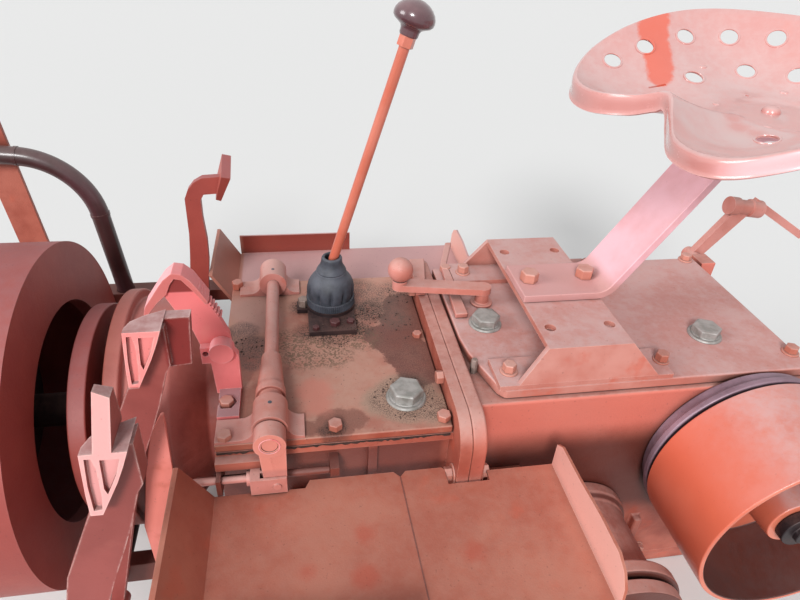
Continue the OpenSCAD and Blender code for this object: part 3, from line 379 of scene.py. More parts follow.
# what each finish has of its own; a finish with "metallic" stands by itself, not on the red
looks = {
    "castRed": {"deep": "a04f3f", "mid": "bb6a58", "bump": 0.5, "dust": 0.75, "dustColor": "caa198",
                # painted shade: the gearbox case's walls darker below the cover's edge, towards the front
                "shaded": {
                    "color": "5c241c", "below": (0.412, 0.427), "ahead": (-0.03, -0.015), "strength": 0.75},
                "tones": [
                    # painted light: the near walls lighter high up
                    {"facing": (1, -1), "zone": [(0, 0.02, 0.6), (2, 0.385, 0.5)], "soft": 0.03,
                     "color": "d87868", "strength": 0.85},
                    # painted shade: the near walls darker low down
                    {"facing": (1, -1), "zone": [(0, 0.02, 0.6), (2, 0.2, 0.385)], "soft": 0.03,
                     "color": "4c1e17", "strength": 0.9}]},
    # a darker red: partly the paint's own colour, partly painted shade
    "bellRed": {"deep": "94443a", "mid": "a65348", "freshColor": "ac5648", "dustColor": "ac766a",
                "edgeColor": "b27468", "dust": 0.35, "grimeAndShade": 0.5,
                "tones": [
                    # painted light: the bell housing lighter in this zone
                    {"zone": [(0, -0.445, -0.375), (2, 0.4, 0.56)], "soft": 0.02, "color": "c87870",
                     "strength": 0.75}]},
    # a darker red: partly the paint's own colour, partly painted shade
    "wheelRed": {"deep": "98413a", "mid": "a64c42", "freshColor": "a84e42", "dustColor": "9c6a6c",
                 "edgeColor": "a87068", "dust": 0.6, "patch": 5},
    "coverRed": {"mid": "b46b57", "dustColor": "bf9a8a", "dust": 0.7, "specks": 0.6, "bump": 0.4,
                 "spots": coverStains},
    "rearRed": {"deep": "bc7264", "mid": "c98a7e", "dustColor": "cbaaa7", "dust": 0.85, "bump": 0.3,
                "edge": 0.7, "edgeColor": "e6b4a6"},
    "plateRed": {"deep": "a85440", "mid": "b9664f", "dust": 0.5, "dustColor": "bd8a7a", "bump": 0.3, "patch": 7,
                 "tones": [
                     # painted light: the rear fin's face turned to the front
                     {"facing": (0, -1), "zone": [(0, 0.11, 0.14)], "color": "efb6aa", "strength": 0.85},
                     # painted shade: the far plate's lip
                     {"facing": (1, -1), "zone": [(1, 0.38, 0.41)], "color": "7c2f26", "strength": 0.85},
                     {"facing": (2, 1), "zone": [(1, 0.2, 0.41), (0, -0.32, 0.2)], "color": "cfb0b4",
                      "strength": 0.6},
                     {"zone": [(1, 0.2, 0.41), (0, -0.4, -0.32)], "color": "ac7668", "strength": 0.7}],
                 "spots": [
                     {"circles": [(-145, -290, 12), (-150, -345, 15), (-215, -330, 9), (-20, -330, 12)],
                      "soft": 8, "ragged": 8, "strength": 0.5, "color": "b8503c"}]},
    "leverRed": {"deep": "c27668", "mid": "d08a80", "dustColor": "ccaaa2", "dust": 0.6, "edgeColor": "e6bab0",
                 "bump": 0.3,
                 "tones": [
                     # painted light: the cross arm's near end lighter
                     {"facing": (1, -1), "zone": [(1, -0.219, -0.2), (2, 0.43, 0.51)], "color": "ea9484",
                      "strength": 0.8}]},
    # a darker red: partly the paint's own colour, partly painted shade on the pedal arms
    "pedalRed": {"deep": "8c3e38", "mid": "9a4842", "freshColor": "a2524a", "dustColor": "cfb0ae", "dust": 0.8,
                 "edgeColor": "ecccc4", "bump": 0.2, "edgeWidth": 0.004, "grimeAndShade": 0.15, "edge": 0.6,
                 "tones": [
                     # painted light on the near pedal's head, partly also cleaner paint
                     {"facing": (1, -1), "zone": [(2, 0.586, 0.73), (1, -0.23, -0.212)], "soft": 0.002,
                      "color": "ff9490", "strength": 0.97},
                     # painted light on the outer pedal's head, partly also dust
                     {"facing": (1, -1), "zone": [(2, 0.582, 0.73), (1, -0.39, -0.368)], "soft": 0.002,
                      "color": "fcb0ac", "strength": 0.92},
                     # painted shade: the near pedal's web under its tread
                     {"facing": (1, -1), "zone": [(1, -0.21, -0.18), (0, -0.349, -0.3)], "soft": 0.002,
                      "color": "822420", "strength": 0.95}]},
    # a bright red: partly the paint's own clean colour, partly painted light
    "latchRed": {"deep": "f07e7e", "mid": "fa8888", "freshColor": "f49088", "dustColor": "d8a4a6", "dust": 0.6,
                 "edgeColor": "f8ccc8", "edge": 0.7, "bump": 0.2, "specks": 0.1, "grimeAndShade": 0.3,
                 "tones": [
                     # painted light: the faces turned to the front paler
                     {"facing": (0, -1), "color": "fabcc0", "strength": 0.8},
                     # painted shade: the hook's recess under its rim
                     {"facing": (1, -1), "zone": [(1, -0.0842, -0.07), (2, 0.611, 0.65)], "soft": 0.0014,
                      "color": "7f2722", "strength": 0.9},
                     {"facing": (1, -1), "zone": [(1, -0.09, -0.0845), (2, 0.57, 0.65)], "soft": 0.0008,
                      "color": "c86e68", "strength": 0.8},
                     {"facing": (2, 1), "zone": [(2, 0.44, 0.47)], "color": "a08285", "strength": 0.85}]},
    # a bright salmon red: partly the plate's own colour, partly painted light
    "stopRed": {"deep": "ea8476", "mid": "f08c80", "dustColor": "d09a90", "dust": 0.3, "edge": 0.5,
                "edgeColor": "f2b4a8", "bump": 0.2, "grimeAndShade": 0.4},
    "seatRed": {"deep": "c88680", "mid": "d0928c", "freshColor": "d87c6a", "fresh": 0.3, "dustColor": "ccb2b0",
                "dust": 0.75,
                "tones": [
                    # painted highlight: the near roll of the pan paler
                    {"facing": (1, -1), "zone": [(1, -0.4, -0.11)], "soft": 0.02, "color": "f8bcc0",
                     "strength": 0.85}], "rough": 0.2, "edge": 0.2, "grimeAndShade": 0.15, "edgeColor": "edc5ba",
                "bump": 0.06, "coat": 0.9, "specks": 0.05, "patch": 5,
                "spots": [
                    {"circles": [
                         (368, 238, 24), (362, 220, 24), (359, 200, 23), (358, 182, 22), (356, 165, 21),
                         (350, 148, 18)], "soft": 4, "ragged": 12, "strength": 0.85, "color": "d4583c"},
                    {"circles": [(365, 11, 8), (369, -12, 12), (367, -31, 12), (378, -51, 9)], "soft": 9,
                     "ragged": 12, "strength": 0.7, "color": "c8817a"},
                    {"circles": [(340, 20, 9), (338, -20, 12), (350, -60, 14)], "soft": 12, "ragged": 14,
                     "strength": 0.6, "color": "c9adaa"}]},
    "barRed": {"deep": "e0a6ac", "mid": "eebac4", "freshColor": "e0a09c", "dustColor": "e4bcc0",
               "tones": [{"zone": [(2, 0.5, 0.565)], "soft": 0.01, "color": "c08c82", "strength": 0.7}],
               "dust": 0.5, "rough": 0.34, "edgeColor": "edc5ba", "bump": 0.1, "specks": 0.1},
    "pulleyRed": {"deep": "d2694e", "mid": "de7c62", "freshColor": "e07454", "dustColor": "d2acaa", "dust": 0.8,
                  "rough": 0.32, "edge": 0.4, "bump": 0.12, "coat": 0.25, "specks": 0.1,
                  # painted shade: the inside of the pulley's drum near black
                  "inside": (0.439, -0.28, 0.346), "insideShadeColor": "36140e",
                  # painted light: the side turned to the front more orange
                  "tones": [{"facing": (0, -1), "color": "d4644a", "strength": 0.7}]},
    "rodRed": {"deep": "c46650", "mid": "cd7460", "dustColor": "cf988c", "dust": 0.35, "rough": 0.28,
               "bump": 0.12, "coat": 0.3, "specks": 0.1},
    "zinc": {"deep": "8a8984", "mid": "aaa9a6", "dust": 0.3, "dustColor": "a89a94", "grimeAndShade": 0.6,
             "grimeAndShadeColor": "2e2623", "edge": 0.5, "edgeColor": "cfcfcc", "patch": 60, "bump": 0.3,
             "rough": 0.38, "metallic": 0.35},
    "boltRed": {"deep": "ae6452", "mid": "c88676", "dustColor": "cfaba2", "dust": 0.55, "edge": 0.6,
                "edgeWidth": 0.0012, "edgeColor": "e0b8ae", "cornerReach": 0.012, "bump": 0.2},
    "boltGrey": {"deep": "6a5a52", "mid": "9a8880", "dust": 0.5, "dustColor": "a88f86", "grimeAndShade": 0.8,
                 "grimeAndShadeColor": "2a201b", "edge": 0.5, "edgeColor": "c2b6ae", "patch": 70, "bump": 0.4,
                 "rough": 0.5, "metallic": 0.2},
    "oilySteel": {"deep": "2b2023", "mid": "42302f", "dust": 0.35, "dustColor": "7d5a52", "grimeAndShade": 0.7,
                  "grimeAndShadeColor": "120c0c", "edge": 0.3, "edgeColor": "6d5450", "patch": 20, "bump": 0.35,
                  "rough": 0.4, "metallic": 0.35},
    # a dark oily drum given a pale grey-purple: painted highlight; its dark corners are painted shade
    "drumGrey": {"deep": "7c6470", "mid": "9c8492", "dust": 0.4, "dustColor": "987c86", "grimeAndShade": 0.9,
                 "grimeAndShadeColor": "1c1214", "edge": 0.4, "edgeColor": "b49ca6", "patch": 14, "bump": 0.35,
                 "rough": 0.34, "metallic": 0.3},
    "boltDark": {"deep": "36191b", "mid": "4a2527", "dustColor": "6c4c4a", "dust": 0.3, "edge": 0.5,
                 "edgeWidth": 0.0012, "edgeColor": "9a6a66", "cornerReach": 0.012},
    # the crust and crumbs: dark, on the crust partly painted shade
    "dirtAndShade": {"deep": "2a1d1b", "mid": "46332d", "dust": 0.4, "dustColor": "6e564c", "grimeAndShade": 0.5,
             "grimeAndShadeColor": "120c0c", "edge": 0.1, "edgeColor": "6d5450", "patch": 90, "bump": 0.8,
             "rough": 0.75, "metallic": 0.0},
    "pipeBrown": {"deep": "3f2626", "mid": "55353a", "freshColor": "6a3a35", "dustColor": "7c6664",
                  "dust": 0.55, "edge": 0.2, "rough": 0.28, "bump": 0.12, "coat": 0.3},
    "rubber": {"deep": "2c3038", "mid": "454953", "dust": 0.4, "dustColor": "7c7c84", "grimeAndShade": 0.5,
               "grimeAndShadeColor": "101115", "edge": 0.25, "edgeColor": "737680", "patch": 30, "bump": 0.25,
               "rough": 0.5, "metallic": 0.0},
    "knobBrown": {"deep": "482c32", "mid": "5c3a40", "freshColor": "6a4044", "dustColor": "8c7072", "dust": 0.5,
                  "edge": 0.1, "rough": 0.2, "bump": 0.05, "coat": 0.7, "specks": 0.0}}
finishes = {name: oldMetal(name, look) if "metallic" in look else oldPaint(name, {**red, **look})
            for name, look in looks.items()}
print("materials made")


# mesh helpers; the sizes of the pieces are in millimetres
def putPiece(bm, name, body, finish, replaces=(), edge=0.0, edgeSteps=2, sharp=32):
    # makes an object of a bmesh that is in metres already, and sets it on its body
    mesh = bpy.data.meshes.new(name)
    bm.normal_update()
    bm.to_mesh(mesh)
    bm.free()
    mesh.shade_smooth()
    mesh.set_sharp_from_angle(angle=math.radians(sharp))
    piece = bpy.data.objects.new(name, mesh)
    bpy.context.scene.collection.objects.link(piece)
    mesh.materials.append(finishes[finish])
    if edge:
        rounding = piece.modifiers.new("edges", "BEVEL")
        rounding.width = edge * 0.001
        rounding.segments = edgeSteps
        rounding.limit_method = "ANGLE"
        rounding.angle_limit = math.radians(sharp)
        rounding.harden_normals = True
    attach(piece, body)
    if replaces:
        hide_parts(*replaces)
    return piece


def spunShape(profile, centre, axis, steps=96):
    # turns rows of radius and place round an axis; a row at radius 0 closes that end
    along = Vector([float(axis == a) for a in "xyz"])
    outward = Vector((1, 0, 0)) if axis == "z" else Vector((0, 0, 1))
    middle = Vector(centre)
    bm = bmesh.new()
    verts = [bm.verts.new((middle + along * place + outward * radius) * 0.001) for radius, place in profile]
    edges = [bm.edges.new(pair) for pair in zip(verts, verts[1:])]
    if profile[0][0] > 0 and profile[-1][0] > 0:
        edges.append(bm.edges.new((verts[-1], verts[0])))
    bmesh.ops.spin(bm, geom=verts + edges, cent=middle * 0.001, axis=along, angle=math.tau, steps=steps,
                   use_merge=True)
    bmesh.ops.remove_doubles(bm, verts=bm.verts, dist=1e-6)
    bmesh.ops.recalc_face_normals(bm, faces=bm.faces)
    return bm


def addShape(bm, other):
    # joins a second bmesh to the first
    spare = bpy.data.meshes.new("spare")
    other.to_mesh(spare)
    other.free()
    bm.from_mesh(spare)
    bpy.data.meshes.remove(spare)


def turnedTo(at, axis):
    # matrix that stands a shape made along +Z at a point, pointing along an axis
    return Matrix.Translation(Vector(at) * 0.001) @ Vector(axis).to_track_quat("Z", "Y").to_matrix().to_4x4()


def addBolt(bm, at, axis=(0, 0, 1), flats=17, height=8, washer=0, washerHigh=2.2, turn=0):
    # hexagon head with a raised face, on an optional washer, standing up from a point
    taper, faceInset, faceUp = 0.94, 0.12, 0.12
    stand = turnedTo(at, axis) @ Matrix.Rotation(math.radians(turn), 4, "Z")
    lift = 0
    if washer:
        lift = washerHigh * 0.001
        bmesh.ops.create_cone(bm, cap_ends=True, segments=40, radius1=washer * 0.001,
                              radius2=washer * taper * 0.001, depth=lift,
                              matrix=stand @ Matrix.Translation((0, 0, lift / 2)))
    radius = flats / math.sqrt(3) * 0.001
    made = bmesh.ops.create_cone(bm, cap_ends=True, segments=6, radius1=radius, radius2=radius,
                                 depth=height * 0.001,
                                 matrix=stand @ Matrix.Translation((0, 0, lift + height * 0.0005)))
    up = (stand.to_3x3() @ Vector((0, 0, 1))).normalized()
    ends = {face for vert in made["verts"] for face in vert.link_faces if len(face.verts) == 6}
    top = max(ends, key=lambda face: face.calc_center_median().dot(up))
    bmesh.ops.inset_region(bm, faces=[top], thickness=radius * faceInset)
    bmesh.ops.translate(bm, verts=top.verts, vec=up * height * faceUp * 0.001)


def nodeShape(node):
    # the CAD solid's mesh, merged and with its flat faces whole again
    bm = bmesh.new()
    bm.from_mesh(nodes[node].data)
    bmesh.ops.remove_doubles(bm, verts=bm.verts, dist=2e-5)
    bmesh.ops.dissolve_limit(bm, angle_limit=math.radians(0.4), verts=bm.verts, edges=bm.edges)
    return bm


# castings and plates that keep the solid's shape and get rounded edges: finish and edge radius in mm
castings = {
    "sump_pan": ("castRed", 4), "gearbox_case": ("castRed", 4), "rear_housing": ("castRed", 4),
    "gearbox_cover": ("coverRed", 2.5), "rear_cover": ("rearRed", 3), "bell_housing": ("bellRed", 3),
    "pulley_housing": ("drumGrey", 3), "near_trumpet": ("castRed", 4), "far_trumpet": ("castRed", 4),
    "near_hub": ("castRed", 3), "far_hub": ("castRed", 3), "power_shaft_cap": ("castRed", 3),
    "drawbar": ("castRed", 3), "seat_bracket": ("rearRed", 2.5), "near_bearing": ("leverRed", 1.5),
    "far_bearing": ("leverRed", 1.5), "cross_arm": ("leverRed", 1.5), "pull_rod": ("leverRed", 1),
    "side_rod": ("castRed", 1), "lever_base": ("oilySteel", 2), "drive_pivot": ("leverRed", 1.5),
    "drive_gate": ("leverRed", 2), "near_foot_plate": ("plateRed", 1.2), "far_foot_plate": ("plateRed", 1.2),
    "pedal_shaft": ("oilySteel", 1.5), "pedal_hangers": ("castRed", 3), "near_pedal": ("pedalRed", 3),
    "near_outer_pedal": ("pedalRed", 3), "far_pedal": ("wheelRed", 3), "pedal_stop": ("stopRed", 1.5),
    "latch_bracket": ("latchRed", 1.5), "latch_lever": ("latchRed", 2), "linkage_pivot": ("castRed", 2.5),
    "linkage_crank": ("leverRed", 2), "pipe_bracket": ("castRed", 2), "pipe_stay": ("castRed", 1.2),
    "seat_spring": ("barRed", 2), "input_shaft": ("oilySteel", 1.5), "clutch_disc": ("wheelRed", 2.5),
    "clutch_drum": ("oilySteel", 2), "flywheel": ("wheelRed", 4), "pulley_shaft": ("oilySteel", 1.5),
    "belt_pulley": ("pulleyRed", 2), "power_shaft": ("oilySteel", 1), "cross_shaft": ("leverRed", 1),
    "side_pipe": ("pipeBrown", 0), "gear_lever": ("rodRed", 0.8), "drive_lever": ("leverRed", 3)}


def dressCastings():
    for node, (finish, edge) in castings.items():
        putPiece(nodeShape(node), node + "_cast", bodyOf[node], finish, [node], edge, 2 if edge < 2 else 3)
    print("castings dressed:", len(castings))


dressCastings()


# the seat pan: turn from the rear, distance from the bolt and height of its rim, one half;
# holes as places in plan, the roll as steps outwards and down
seat = {
    "bolt": (457, 0, 800), "turn": 3, "flat": 62, "thick": 3, "rings": 34, "sectors": 160,
    "rim": [
        (0, 152, 99), (60, 200, 101), (92, 240, 95), (116, 262, 72), (130, 283, 41), (143, 284, 14),
        (156, 256, 8), (168, 209, 18), (180, 186, 34)],
    "roll": [(2.5, 1.2), (5.2, 0.4), (7, -2), (7.6, -6), (7.2, -11), (6.4, -16), (6.8, -19), (8.2, -21)],
    "bowl": 1.9, "lobe": (148, 26, 64), "ridge": (180, 14, 0.6), "rollDeeper": (148, 40, 0.35), "sink": 0.8,
    "dish": (63, 78, 3.5), "hole": 14.5, "lip": 1.7,
    "holes": [
        (287, 187), (342, 198), (412, 208), (477, 192), (534, 159), (399, 136), (483, 136), (540, 96),
        (379, -74), (399, -148), (483, -136), (540, -96), (412, -208), (477, -192), (534, -159)], "cutDeep": 30,
    "slit": (339, 131, 27, 3.5), "pinHole": (457, 83, 2.6),
    "welds": [(394, 61), (403, -40), (513, 79), (423, 156)], "weldSize": (4, 1.5, 0.9, 0.35), "head": (450, 18),
    "headShape": [(0, 9), (5, 8.6), (9, 7), (11.5, 4), (12.5, 0.6), (12.5, -2)]}


def seatRim(turn, column):
    # the rim's distance or height at a turn, smooth through the table's rows
    rows = seat["rim"]
    last = len(rows) - 1

    def row(i):
        if i < 0:
            return (-rows[-i][0], *rows[-i][1:])
        return (360 - rows[2 * last - i][0], *rows[2 * last - i][1:]) if i > last else rows[i]

    i = max(k for k in range(last) if rows[k][0] <= turn)
    before, low, high, after = (row(i + k) for k in (-1, 0, 1, 2))
    wide = high[0] - low[0]
    u = (turn - low[0]) / wide
    slopeLow = (high[column] - before[column]) / (high[0] - before[0]) * wide
    slopeHigh = (after[column] - low[column]) / (after[0] - low[0]) * wide
    return ((2 * u ** 3 - 3 * u * u + 1) * low[column] + (u ** 3 - 2 * u * u + u) * slopeLow
            + (3 * u * u - 2 * u ** 3) * high[column] + (u ** 3 - u * u) * slopeHigh)


def seatPoint(turn, share, out=0, up=0):
    # a point of the pan at a turn and a share of the way from the bolt to the rim
    side = abs(turn)
    reach, rim = seatRim(side, 1), seatRim(side, 2)
    flat = seat["flat"] / reach
    k = max(0.0, (share - flat) / (1 - flat))
    bowl = seat["bowl"]
    (lobeAt, lobeWide, lobeDeep), (ridgeAt, ridgeWide, ridgeHigh) = seat["lobe"], seat["ridge"]
    lobe = math.exp(-((side - lobeAt) / lobeWide) ** 2)
    ridge = math.exp(-((side - ridgeAt) / ridgeWide) ** 2)
    rise = rim * k ** bowl - lobeDeep * lobe * k * (1 - k) + ridgeHigh * rim * ridge * (k - k ** bowl)
    away = reach * share
    dishFrom, dishTo, dishHigh = seat["dish"]
    step = min(1, max(0, (away - dishFrom) / (dishTo - dishFrom)))
    rise += dishHigh * (step * step * (3 - 2 * step)) * (1 - k) - seat["sink"]
    angle = math.radians(turn + seat["turn"])
    away += out
    x, y, z = seat["bolt"]
    return Vector((x + away * math.cos(angle), away * math.sin(angle), z + rise + up)) * 0.001


def seatPlace(x, y):
    # turn and share of a place in plan, and the pan's point and normal there
    dx, dy = x - seat["bolt"][0], y
    turn = (math.degrees(math.atan2(dy, dx)) - seat["turn"] + 180) % 360 - 180
    share = math.hypot(dx, dy) / seatRim(abs(turn), 1)
    here = seatPoint(turn, share)
    normal = (seatPoint(turn, share + 0.01) - here).cross(seatPoint(turn + 1, share) - here).normalized()
    return here, normal if normal.z > 0 else -normal


def bakedMesh(piece, name):
    # the mesh of an object with its modifiers in it
    found = piece.evaluated_get(bpy.context.evaluated_depsgraph_get())
    mesh = bpy.data.meshes.new_from_object(found)
    mesh.name = name
    return mesh


def seatSurface():
    # the pan's upper skin: a spun disc of rings whose points are set on the seat, with its rolled edge
    rings = seat["rings"]
    rows = rings + len(seat["roll"])
    bm = bmesh.new()
    chain = [bm.verts.new((float(i), 0, 0)) for i in range(rows + 1)]
    links = [bm.edges.new(pair) for pair in zip(chain, chain[1:])]
    bmesh.ops.spin(bm, geom=chain + links, cent=(0, 0, 0), axis=(0, 0, 1), angle=math.tau,
                   steps=seat["sectors"], use_merge=True)
    bmesh.ops.remove_doubles(bm, verts=bm.verts, dist=1e-4)
    deepAt, deepWide, deeper = seat["rollDeeper"]
    for vert in bm.verts:
        ring = round(vert.co.xy.length)
        turn = math.degrees(math.atan2(vert.co.y, vert.co.x)) if ring else 0
        rolled = seat["roll"][ring - rings - 1] if ring > rings else (0, 0)
        if turn > 0:
            rolled = (rolled[0], rolled[1] * (1 + deeper * math.exp(-((turn - deepAt) / deepWide) ** 2)))
        vert.co = seatPoint(turn, min(1, ring / rings), *rolled)
    bmesh.ops.recalc_face_normals(bm, faces=bm.faces)
    bolt = Vector(seat["bolt"][:2]) * 0.001
    middle = min(bm.faces, key=lambda face: (face.calc_center_median().xy - bolt).length)
    if middle.normal.z < 0:
        bmesh.ops.reverse_faces(bm, faces=bm.faces)
    return bm


def seatCuts():
    # round cutters for the holes, and a flat one for the slit
    bm = bmesh.new()
    deep = seat["cutDeep"]
    for x, y, radius in [(*at, seat["hole"]) for at in seat["holes"]] + [seat["pinHole"]]:
        here, normal = seatPlace(x, y)
        bmesh.ops.create_cone(bm, cap_ends=True, segments=32, radius1=radius * 0.001, radius2=radius * 0.001,
                              depth=deep * 0.001, matrix=turnedTo(here * 1000, normal))
    x, y, long, high = seat["slit"]
    stand = Matrix.Translation(seatPlace(x, y)[0]) @ Matrix.Diagonal((long, high, deep, 1))
    bmesh.ops.create_cube(bm, size=0.001, matrix=stand)
    return bm


def spareObject(bm, name):
    # a helper object of a bmesh, deleted again once it has been used
    made = bpy.data.objects.new(name, bpy.data.meshes.new(name))
    bm.to_mesh(made.data)
    bm.free()
    return made


def makeSeat():
    shell, cutter = spareObject(seatSurface(), "shell"), spareObject(seatCuts(), "cutter")
    for made in (shell, cutter):
        bpy.context.scene.collection.objects.link(made)
    wall = shell.modifiers.new("wall", "SOLIDIFY")
    wall.thickness, wall.offset = seat["thick"] * 0.001, -1
    holes = shell.modifiers.new("holes", "BOOLEAN")
    holes.object, holes.operation, holes.solver = cutter, "DIFFERENCE", "EXACT"
    done = bakedMesh(shell, "seat")
    bm = bmesh.new()
    bm.from_mesh(done)
    for made in (shell, cutter):
        bpy.data.objects.remove(made)
    bpy.data.meshes.remove(done)
    for x, y in seat["holes"]:
        here, normal = seatPlace(x, y)
        lip = spunShape([(seat["hole"] + seat["lip"] * math.cos(a), seat["lip"] * (0.25 + 0.75 * math.sin(a)))
                         for a in (k * math.tau / 8 for k in range(8))], (0, 0, 0), "z", 32)
        bmesh.ops.transform(lip, matrix=turnedTo(here * 1000, normal), verts=lip.verts)
        addShape(bm, lip)
    putPiece(bm, "seat_shell", "casing", "seatRed", ["seat_pan"], sharp=40)
    trim = bmesh.new()
    for x, y in seat["welds"]:
        here, normal = seatPlace(x, y)
        size, *stretch = seat["weldSize"]
        ball = bmesh.ops.create_uvsphere(trim, u_segments=16, v_segments=8, radius=size * 0.001)
        bmesh.ops.scale(trim, verts=ball["verts"], vec=stretch)
        bmesh.ops.transform(trim, matrix=turnedTo(here * 1000, normal), verts=ball["verts"])
    here, normal = seatPlace(*seat["head"])
    head = spunShape(seat["headShape"], (0, 0, 0), "z", 32)
    bmesh.ops.transform(head, matrix=turnedTo(here * 1000, normal), verts=head.verts)
    addShape(trim, head)
    putPiece(trim, "seat_bolt_and_welds", "casing", "seatRed", sharp=40)
    print("seat made")


makeSeat()

# the gear lever's rubber boot with its folds, the knurled ring, and the knob
lever = {
    "at": (-159, 98), "lean": 17, "foot": 533,
    "boot": [
        (0, 475), (35.2, 475), (36.2, 478), (37.6, 483), (38.2, 489), (37.8, 495), (36.4, 501), (34.2, 506),
        (31.2, 511), (28, 515.2), (25.6, 518.6), (24.2, 521), (23.9, 522), (22.9, 522.6), (22.9, 523.8),
        (23.7, 524.6), (22.2, 527.6), (20, 531), (18.2, 534.6), (17, 538.4), (16.4, 542.4), (16.2, 546),
        (15.2, 548), (13.2, 548.6), (11.4, 547.8), (10.8, 545)], "folds": 11, "foldTurn": 0.4, "foldRadius": 38,
    "foldDeep": 6.5, "foldAt": 486, "foldHigh": 17, "bend": 0.05,
    "ring": [(35, 463.8), (38.2, 463.8), (39, 464.6), (39, 476), (38.2, 476.8), (35, 476.8)], "teeth": 78,
    "toothOutside": 38.8, "toothDeep": 0.03,
    "knob": [
        (0, 0), (12, 0), (12.8, 2), (13, 7), (14.5, 10.5), (19, 13.2), (24.5, 16), (27.4, 19.5), (28, 23.5),
        (27.2, 28), (24.6, 33), (20.4, 37.5), (14.6, 41.4), (7.5, 44), (0, 45)], "knobUp": 356, "knobBack": 2}


def makeLever():
    bm = spunShape(lever["boot"], (0, 0, 0), "z", 120)
    for vert in bm.verts:
        x, y, z = (v * 1000 for v in vert.co)
        near = max(0, 1 - abs(z - lever["foldAt"]) / lever["foldHigh"])
        wave = max(0, math.sin(math.atan2(y, x) * lever["folds"] + lever["foldTurn"])) ** 3
        pinch = 1 - lever["foldDeep"] * near * near * (3 - 2 * near) * wave / lever["foldRadius"]
        lean = max(0, z - lever["foldAt"]) * lever["bend"]
        vert.co = Vector((x * pinch + lever["at"][0] + lean, y * pinch + lever["at"][1], z)) * 0.001
    putPiece(bm, "boot_rubber", "casing", "rubber", ["lever_boot"], sharp=50)
    ring = spunShape(lever["ring"], (*lever["at"], 0), "z", lever["teeth"] * 2)
    for vert in ring.verts:
        away = vert.co.xy - Vector(lever["at"]) * 0.001
        step = round(math.atan2(away.y, away.x) / math.tau * lever["teeth"] * 2)
        if away.length * 1000 > lever["toothOutside"] and step % 2:
            vert.co.xy -= away * lever["toothDeep"]
    putPiece(ring, "boot_ring", "casing", "rubber", sharp=20)
    knob = spunShape(lever["knob"], (0, 0, 0), "z", 64)
    x, y = lever["at"]
    foot = Matrix.Translation(Vector((x + lever["knobBack"], y, lever["foot"])) * 0.001)
    leaning = Matrix.Rotation(math.radians(lever["lean"]), 4, "Y")
    stand = foot @ leaning @ Matrix.Translation((0, 0, lever["knobUp"] * 0.001))
    bmesh.ops.transform(knob, matrix=stand, verts=knob.verts)
    putPiece(knob, "knob_turned", "casing", "knobBrown", ["gear_knob"], sharp=60)
    print("gear lever made")


makeLever()

# filler and level plugs: place, washer radius, width across flats, head height, turn
plugs = {"cover_plug": [(-70, -126, 450, 28.5, 41, 14, 12)],
         "rear_plugs": [(73, -8, 480, 26, 38, 12, 20), (411, -69, 480, 26, 38, 12, 8)]}


def makePlugs():
    for node, rows in plugs.items():
        bm = bmesh.new()
        for x, y, z, washer, flats, height, turn in rows:
            addBolt(bm, (x, y, z), flats=flats, height=height, washer=washer, washerHigh=3.2, turn=turn)
            outer, inner = washer - 5, flats / 2
            ring = [(outer, 3), (outer, 4.6), (inner, 5.2), (inner, 3)]
            addShape(bm, spunShape(ring, (x, y, z), "z", 40))
        putPiece(bm, node + "_heads", "casing", "zinc", [node], edge=0.9, edgeSteps=3)
    print("plugs made")


makePlugs()

# bolt heads by finish: place, axis, width across flats, height, washer radius, turn
bolts = {
    "boltRed": [
        ((-309, -178, 455), "z", 17, 7, 0, 10), ((-171, -172, 450), "z", 17, 9, 0, 5),
        ((-27, -172, 450), "z", 17, 9, 0, 0), ((-171, 172, 450), "z", 17, 9, 0, 0),
        ((-27, 172, 450), "z", 17, 9, 0, 15), ((-30, 8, 450), "z", 13, 7, 0, 20),
        ((-313, 171, 450), "z", 17, 12, 0, 14), ((-310, -118, 453), "z", 17, 9, 0, 22),
        ((-16, -110, 468), "-x", 17, 9, 0, 0), ((-16, 110, 468), "-x", 17, 9, 0, 0),
        ((134, -1, 552), "z", 24, 14, 0, 10), ((224, 3, 552), "z", 24, 14, 0, 25),
        ((71, -130, 488), "z", 17, 11, 13, 10), ((300, -130, 488), "z", 17, 11, 12, 20),
        ((71, 130, 488), "z", 17, 11, 13, 0), ((298, 130, 488), "z", 17, 11, 12, 8),
        ((511, 153, 480), "z", 17, 9, 13, 0), ((520, -124, 480), "z", 17, 9, 13, 10),
        ((45, 150, 480), "z", 17, 9, 0, 8)],
    "boltGrey": [((-203, 98, 458), "z", 17, 12, 0, 10), ((31, -100, 464), "z", 9, 21, 0, 0)],
    "boltDark": [
        ((-156, 41, 458), "z", 15, 7, 0, 10), ((-186, 31, 458), "z", 10, 5, 0, 5),
        ((-131, 44, 458), "z", 11, 5, 0, 30)]}
turns = {"z": (0, 0, 1), "-x": (-1, 0, 0)}
# bolts in rows: along the seam's flanges, along the sump pan's edge by half width, and round the shaft's cap
seamBolts = {
    "y": 208, "heights": (150, 230, 310, 382), "faces": ((-16, (-1, 0, 0)), (21, (1, 0, 0))),
    "sizes": (17, 9, 14)}
sumpBolts = {"z": 86, "rows": {172: (-290, -200, -110), 168: (90, 180, 270, 360, 450)}, "sizes": (17, 8, 12)}
capBolts = {"x": 561, "z": 240, "circle": 62, "count": 8, "sizes": (13, 8, 10)}
hubNuts = {"x": 200, "y": 388, "z": 188, "sizes": (46, 14)}


